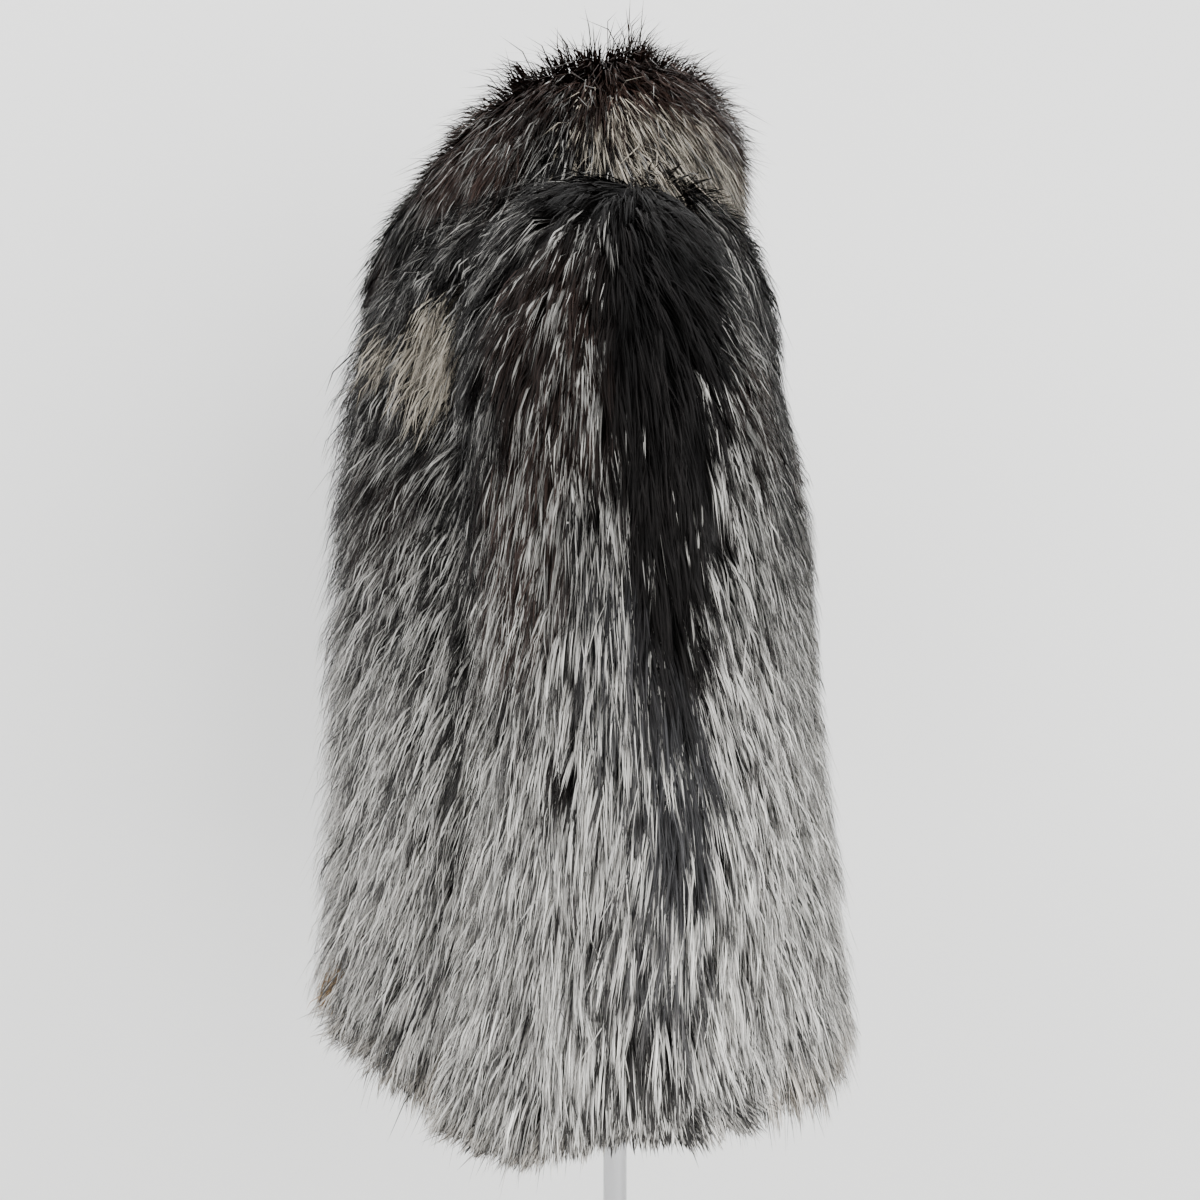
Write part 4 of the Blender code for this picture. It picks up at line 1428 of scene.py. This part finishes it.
def stand_piece(
    mesh: Mesh, name: str, label: str, material: bpy.types.Material, crease: float
) -> None:
    """Build a part of the stand, hang it under the root and hide the CAD part that it stands for.

    Args:
        mesh: its points and faces.
        name: the CAD node that it replaces.
        label: the object's name.
        material: its finish.
        crease: angle in degrees past which an edge is sharp.
    """
    made = mesh.build(label, material)
    made.data.set_sharp_from_angle(angle=math.radians(crease))
    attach(made, "root")
    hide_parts(name)


def circle(sides: int) -> Array:
    """Angles once round, in radians."""
    return np.linspace(0, 2 * math.pi, sides, endpoint=False)


@dataclass(frozen=True)
class Turned:
    """A turned part: a profile of (radius, height) swept round the pole's axis."""

    name: str
    profile: tuple
    slot: str
    closed: bool = False
    sides: int = 96

    def build(self, material: bpy.types.Material) -> None:
        """Sweep the profile: x and y are the radius times the cosine and sine of each side's angle.

        A closed profile makes a ring with a bore.  One that starts and ends on the axis is closed
        by a fan at each end.
        """
        path, angle = np.array(self.profile), circle(self.sides)
        rings = path if self.closed else path[1:-1]
        radius, height = rings[:, :1], rings[:, 1:]
        points = np.stack((radius * np.cos(angle), radius * np.sin(angle), height + 0 * angle), axis=-1)
        if self.closed:
            quads = grid_quads(len(rings) + 1, self.sides, True) % (len(rings) * self.sides)
            mesh = Mesh(points.reshape(-1, 3), quads)
        else:
            mesh = capped(points, [(0, 0, path[0, 1]), (0, 0, path[-1, 1])])
        stand_piece(mesh, self.name, self.name + "_turned", material, 35)


@dataclass(frozen=True)
class Torso:
    """The padded torso, lofted through level rings of (height, half width, front, back)."""

    rings: tuple = (
        (0.8080, 0.142, -0.098, 0.090),
        (0.8180, 0.150, -0.105, 0.098),
        (0.8700, 0.160, -0.112, 0.108),
        (0.9500, 0.146, -0.104, 0.100),
        (1.0400, 0.118, -0.088, 0.080),
        (1.1200, 0.126, -0.104, 0.084),
        (1.2000, 0.140, -0.130, 0.090),
        (1.2700, 0.148, -0.118, 0.095),
        (1.3250, 0.156, -0.092, 0.095),
        (1.3520, 0.152, -0.072, 0.090),
        (1.3740, 0.124, -0.064, 0.062),
        (1.3860, 0.092, -0.062, 0.034),
        (1.4000, 0.062, -0.066, 0.018),
        (1.4400, 0.052, -0.070, 0.016),
        (1.4560, 0.051, -0.070, 0.015),
    )
    squareness: float = 2.15
    rows: int = 64
    sides: int = 128
    seams: tuple = (0, 32, 90, 148, 180, 212, 270, 328, 360)
    seam_depth: float = 0.0012
    seam_width: float = 1.6

    def build(self, material: bpy.types.Material) -> None:
        """Loft the rings, press the sewn seams in at the centre, sides and princess lines.

        The seams' places and width are in degrees round the torso; each is a bell across.
        """
        knots = np.arange(len(self.rings))
        table = through(knots, self.rings, np.linspace(0, knots[-1], self.rows))
        height, width, front, back = (table[:, k : k + 1] for k in range(4))
        angle = circle(self.sides)
        side, ahead = power(np.sin(angle), self.squareness), power(np.cos(angle), self.squareness)
        y = 0.5 * (front + back) - 0.5 * (back - front) * ahead
        points = np.stack((width * side, y, np.repeat(height, self.sides, axis=1)), axis=-1)
        near = np.abs(np.degrees(angle)[:, None] - np.array(self.seams)[None, :]).min(axis=1)
        press = self.seam_depth * np.exp(-((near / self.seam_width) ** 2))
        centre = points.mean(axis=1, keepdims=True)
        points = points - unit(points - centre) * press[None, :, None]
        mesh = capped(points, [centre[0, 0], centre[-1, 0]])
        stand_piece(mesh, "form_torso", "form_torso_cover", material, 50)


@dataclass(frozen=True)
class NeckCap:
    """Low domed cap on the torso's neck."""

    half_width: float = 0.051
    y_front: float = -0.070
    y_back: float = 0.015
    bottom: float = 1.4564
    rise: float = 0.022
    sides: int = 96
    rows: int = 20
    last_lift: float = 86.0

    def build(self, material: bpy.types.Material) -> None:
        """Sweep a quarter circle: the radius falls with its cosine, the height rises with its sine."""
        lift = np.linspace(0, math.radians(self.last_lift), self.rows)[:, None]
        angle = circle(self.sides)
        half, middle = 0.5 * (self.y_back - self.y_front), 0.5 * (self.y_back + self.y_front)
        points = np.stack((
            self.half_width * np.cos(lift) * np.cos(angle),
            middle + half * np.cos(lift) * np.sin(angle),
            self.bottom + self.rise * np.sin(lift) + 0 * angle,
        ), axis=-1)
        mesh = capped(points, [(0, middle, self.bottom), (0, middle, self.bottom + self.rise)])
        stand_piece(mesh, "form_neck_cap", "form_neck_cap_dome", material, 50)


@dataclass
class Stand:
    """Torso, cap, pole, sockets and base."""

    pole_radius: float = 0.011
    socket_radius: float = 0.0185
    base_radius: float = 0.170

    def build(self) -> None:
        """Build every part of the stand."""
        chrome = MetalFinish("polished_chrome", (0.43, 0.43, 0.44), 0.14, 0.03).build()
        plate = MetalFinish("satin_plate", (0.46, 0.46, 0.47), 0.26, 0.06).build()
        cover = WeaveFinish("form_cover_weave", (0.60, 0.57, 0.51)).build()
        wood = WoodFinish("cap_wood").build()
        Torso().build(cover)
        NeckCap().build(wood)
        r, s, b = self.pole_radius, self.socket_radius, self.base_radius
        bore, edge, top, low = r + 0.0005, 0.0008, 0.8076, 0.0225
        foot, head = 0.0125, 0.8045  # the pole's ends
        Turned("pole", (
            (0, foot), (r - edge, foot), (r, foot + edge),
            (r, head - edge), (r - edge, head), (0, head),
        ), "chrome").build(chrome)
        Turned("form_socket", (
            (bore, top - 0.046), (s - 0.001, top - 0.046), (s, top - 0.045), (s, top - 0.006),
            (0.034, top - 0.005), (0.034, top), (bore, top),
        ), "chrome", closed=True).build(chrome)
        Turned("base_socket", (
            (bore, low), (0.0300, low), (0.0300, low + 0.004), (0.0215, low + 0.010), (s, low + 0.020),
            (s, low + 0.048), (s - 0.002, low + 0.050), (bore, low + 0.050),
        ), "chrome", closed=True).build(chrome)
        Turned("base", (
            (0, 0), (b - 0.0015, 0), (b, 0.0015), (b, 0.0075), (b - 0.0030, 0.0105), (0.150, 0.0128),
            (0.110, 0.0168), (0.070, 0.0198), (0.040, 0.0218), (0.0330, 0.0221), (bore, 0.0221),
            (bore, 0.0120), (0, 0.0120),
        ), "base_metal", sides=144).build(plate)


# ================================================================ stage
@dataclass(frozen=True)
class Studio:
    """Camera, lights, floor and the pale wall behind."""

    azimuth: float = 102.0
    distance: float = 1.15
    height: float = 1.05
    aim: float = -0.014
    lens: float = 36.9
    wall_distance: float = 0.55
    sheet_size: float = 6.0
    paint: tuple = (0.89, 0.89, 0.88, 1.0)
    lights: tuple = (  # name, place, height that it looks at on the axis, size and watts
        ("key", (1.5, -1.7, 2.3), 1.0, 2.6, 90.0),
        ("top", (0.5, 0.2, 3.0), 1.0, 2.6, 40.0),
        ("fill", (1.5, 2.0, 1.3), 0.9, 2.4, 110.0),
    )

    def build(self) -> None:
        """Set everything up round the object."""
        turn = math.radians(self.azimuth)
        ahead = Vector((-math.sin(turn), math.cos(turn), 0.0))
        right = Vector((math.cos(turn), math.sin(turn), 0.0))
        camera = bpy.data.cameras.new("camera")
        camera.lens = self.lens
        camera.sensor_width = 36.0
        holder = bpy.data.objects.new("camera", camera)
        holder.location = -ahead * self.distance + right * self.aim + Vector((0, 0, self.height))
        holder.rotation_euler = Euler((math.radians(90), 0.0, turn))
        bpy.context.scene.collection.objects.link(holder)
        bpy.context.scene.camera = holder

        for name, place, height, size, watts in self.lights:
            self.light(name, place, (0.0, 0.0, height), size, watts)
        world = bpy.data.worlds.new("studio")
        world.use_nodes = True
        tree = world.node_tree
        sky = tree.nodes["Background"]
        sky.inputs["Color"].default_value = (0.97, 0.98, 1.0, 1.0)
        seen = node(tree, "ShaderNodeLightPath").outputs["Is Camera Ray"]
        level = ranged(tree, seen, 0.0, 1.0, 0.50, 1.20)  # the sky's light, and how bright it is to see
        tree.links.new(level, sky.inputs["Strength"])
        bpy.context.scene.world = world
        self.sheet("floor", Vector((0.0, 0.0, 0.0)), Euler((0, 0, 0)))
        behind = ahead * self.wall_distance + Vector((0, 0, 0.5 * self.sheet_size))
        self.sheet("wall", behind, Euler((math.radians(90), 0.0, turn)), one_sided=True)

    def light(self, name: str, place: tuple, target: tuple, size: float, watts: float) -> None:
        """One square area light aimed at a point."""
        lamp = bpy.data.lights.new(name, "AREA")
        lamp.size = size
        lamp.energy = watts
        holder = bpy.data.objects.new(name, lamp)
        holder.location = place
        holder.rotation_euler = (Vector(target) - Vector(place)).to_track_quat("-Z", "Y").to_euler()
        bpy.context.scene.collection.objects.link(holder)

    def sheet(self, name: str, place: Vector, turn: Euler, one_sided: bool = False) -> None:
        """A plain square for the floor or the wall; a one-sided one is clear from behind."""
        half = self.sheet_size / 2
        points = np.array(((-half, -half, 0), (half, -half, 0), (half, half, 0), (-half, half, 0)))
        made, tree, shader = new_material(name + "_paint", Base_Color=self.paint, Roughness=0.9)
        if one_sided:
            back = node(tree, "ShaderNodeNewGeometry").outputs["Backfacing"]
            clear = node(tree, "ShaderNodeBsdfTransparent").outputs[0]
            mix = node(tree, "ShaderNodeMixShader", back)
            for place_in, shown in ((1, shader.outputs[0]), (2, clear)):
                tree.links.new(shown, mix.inputs[place_in])
            tree.links.new(mix.outputs[0], tree.nodes["Material Output"].inputs["Surface"])
        flat = Mesh(points, np.array(((0, 1, 2, 3),))).build(name, made)
        flat.location = place
        flat.rotation_euler = turn


def main() -> None:
    """Build the jacket, its stand and the stage."""
    logging.basicConfig(level=logging.INFO, format="%(name)s: %(message)s")
    Jacket().build()
    Stand().build()
    Studio().build()


if __name__ == "__main__":
    main()
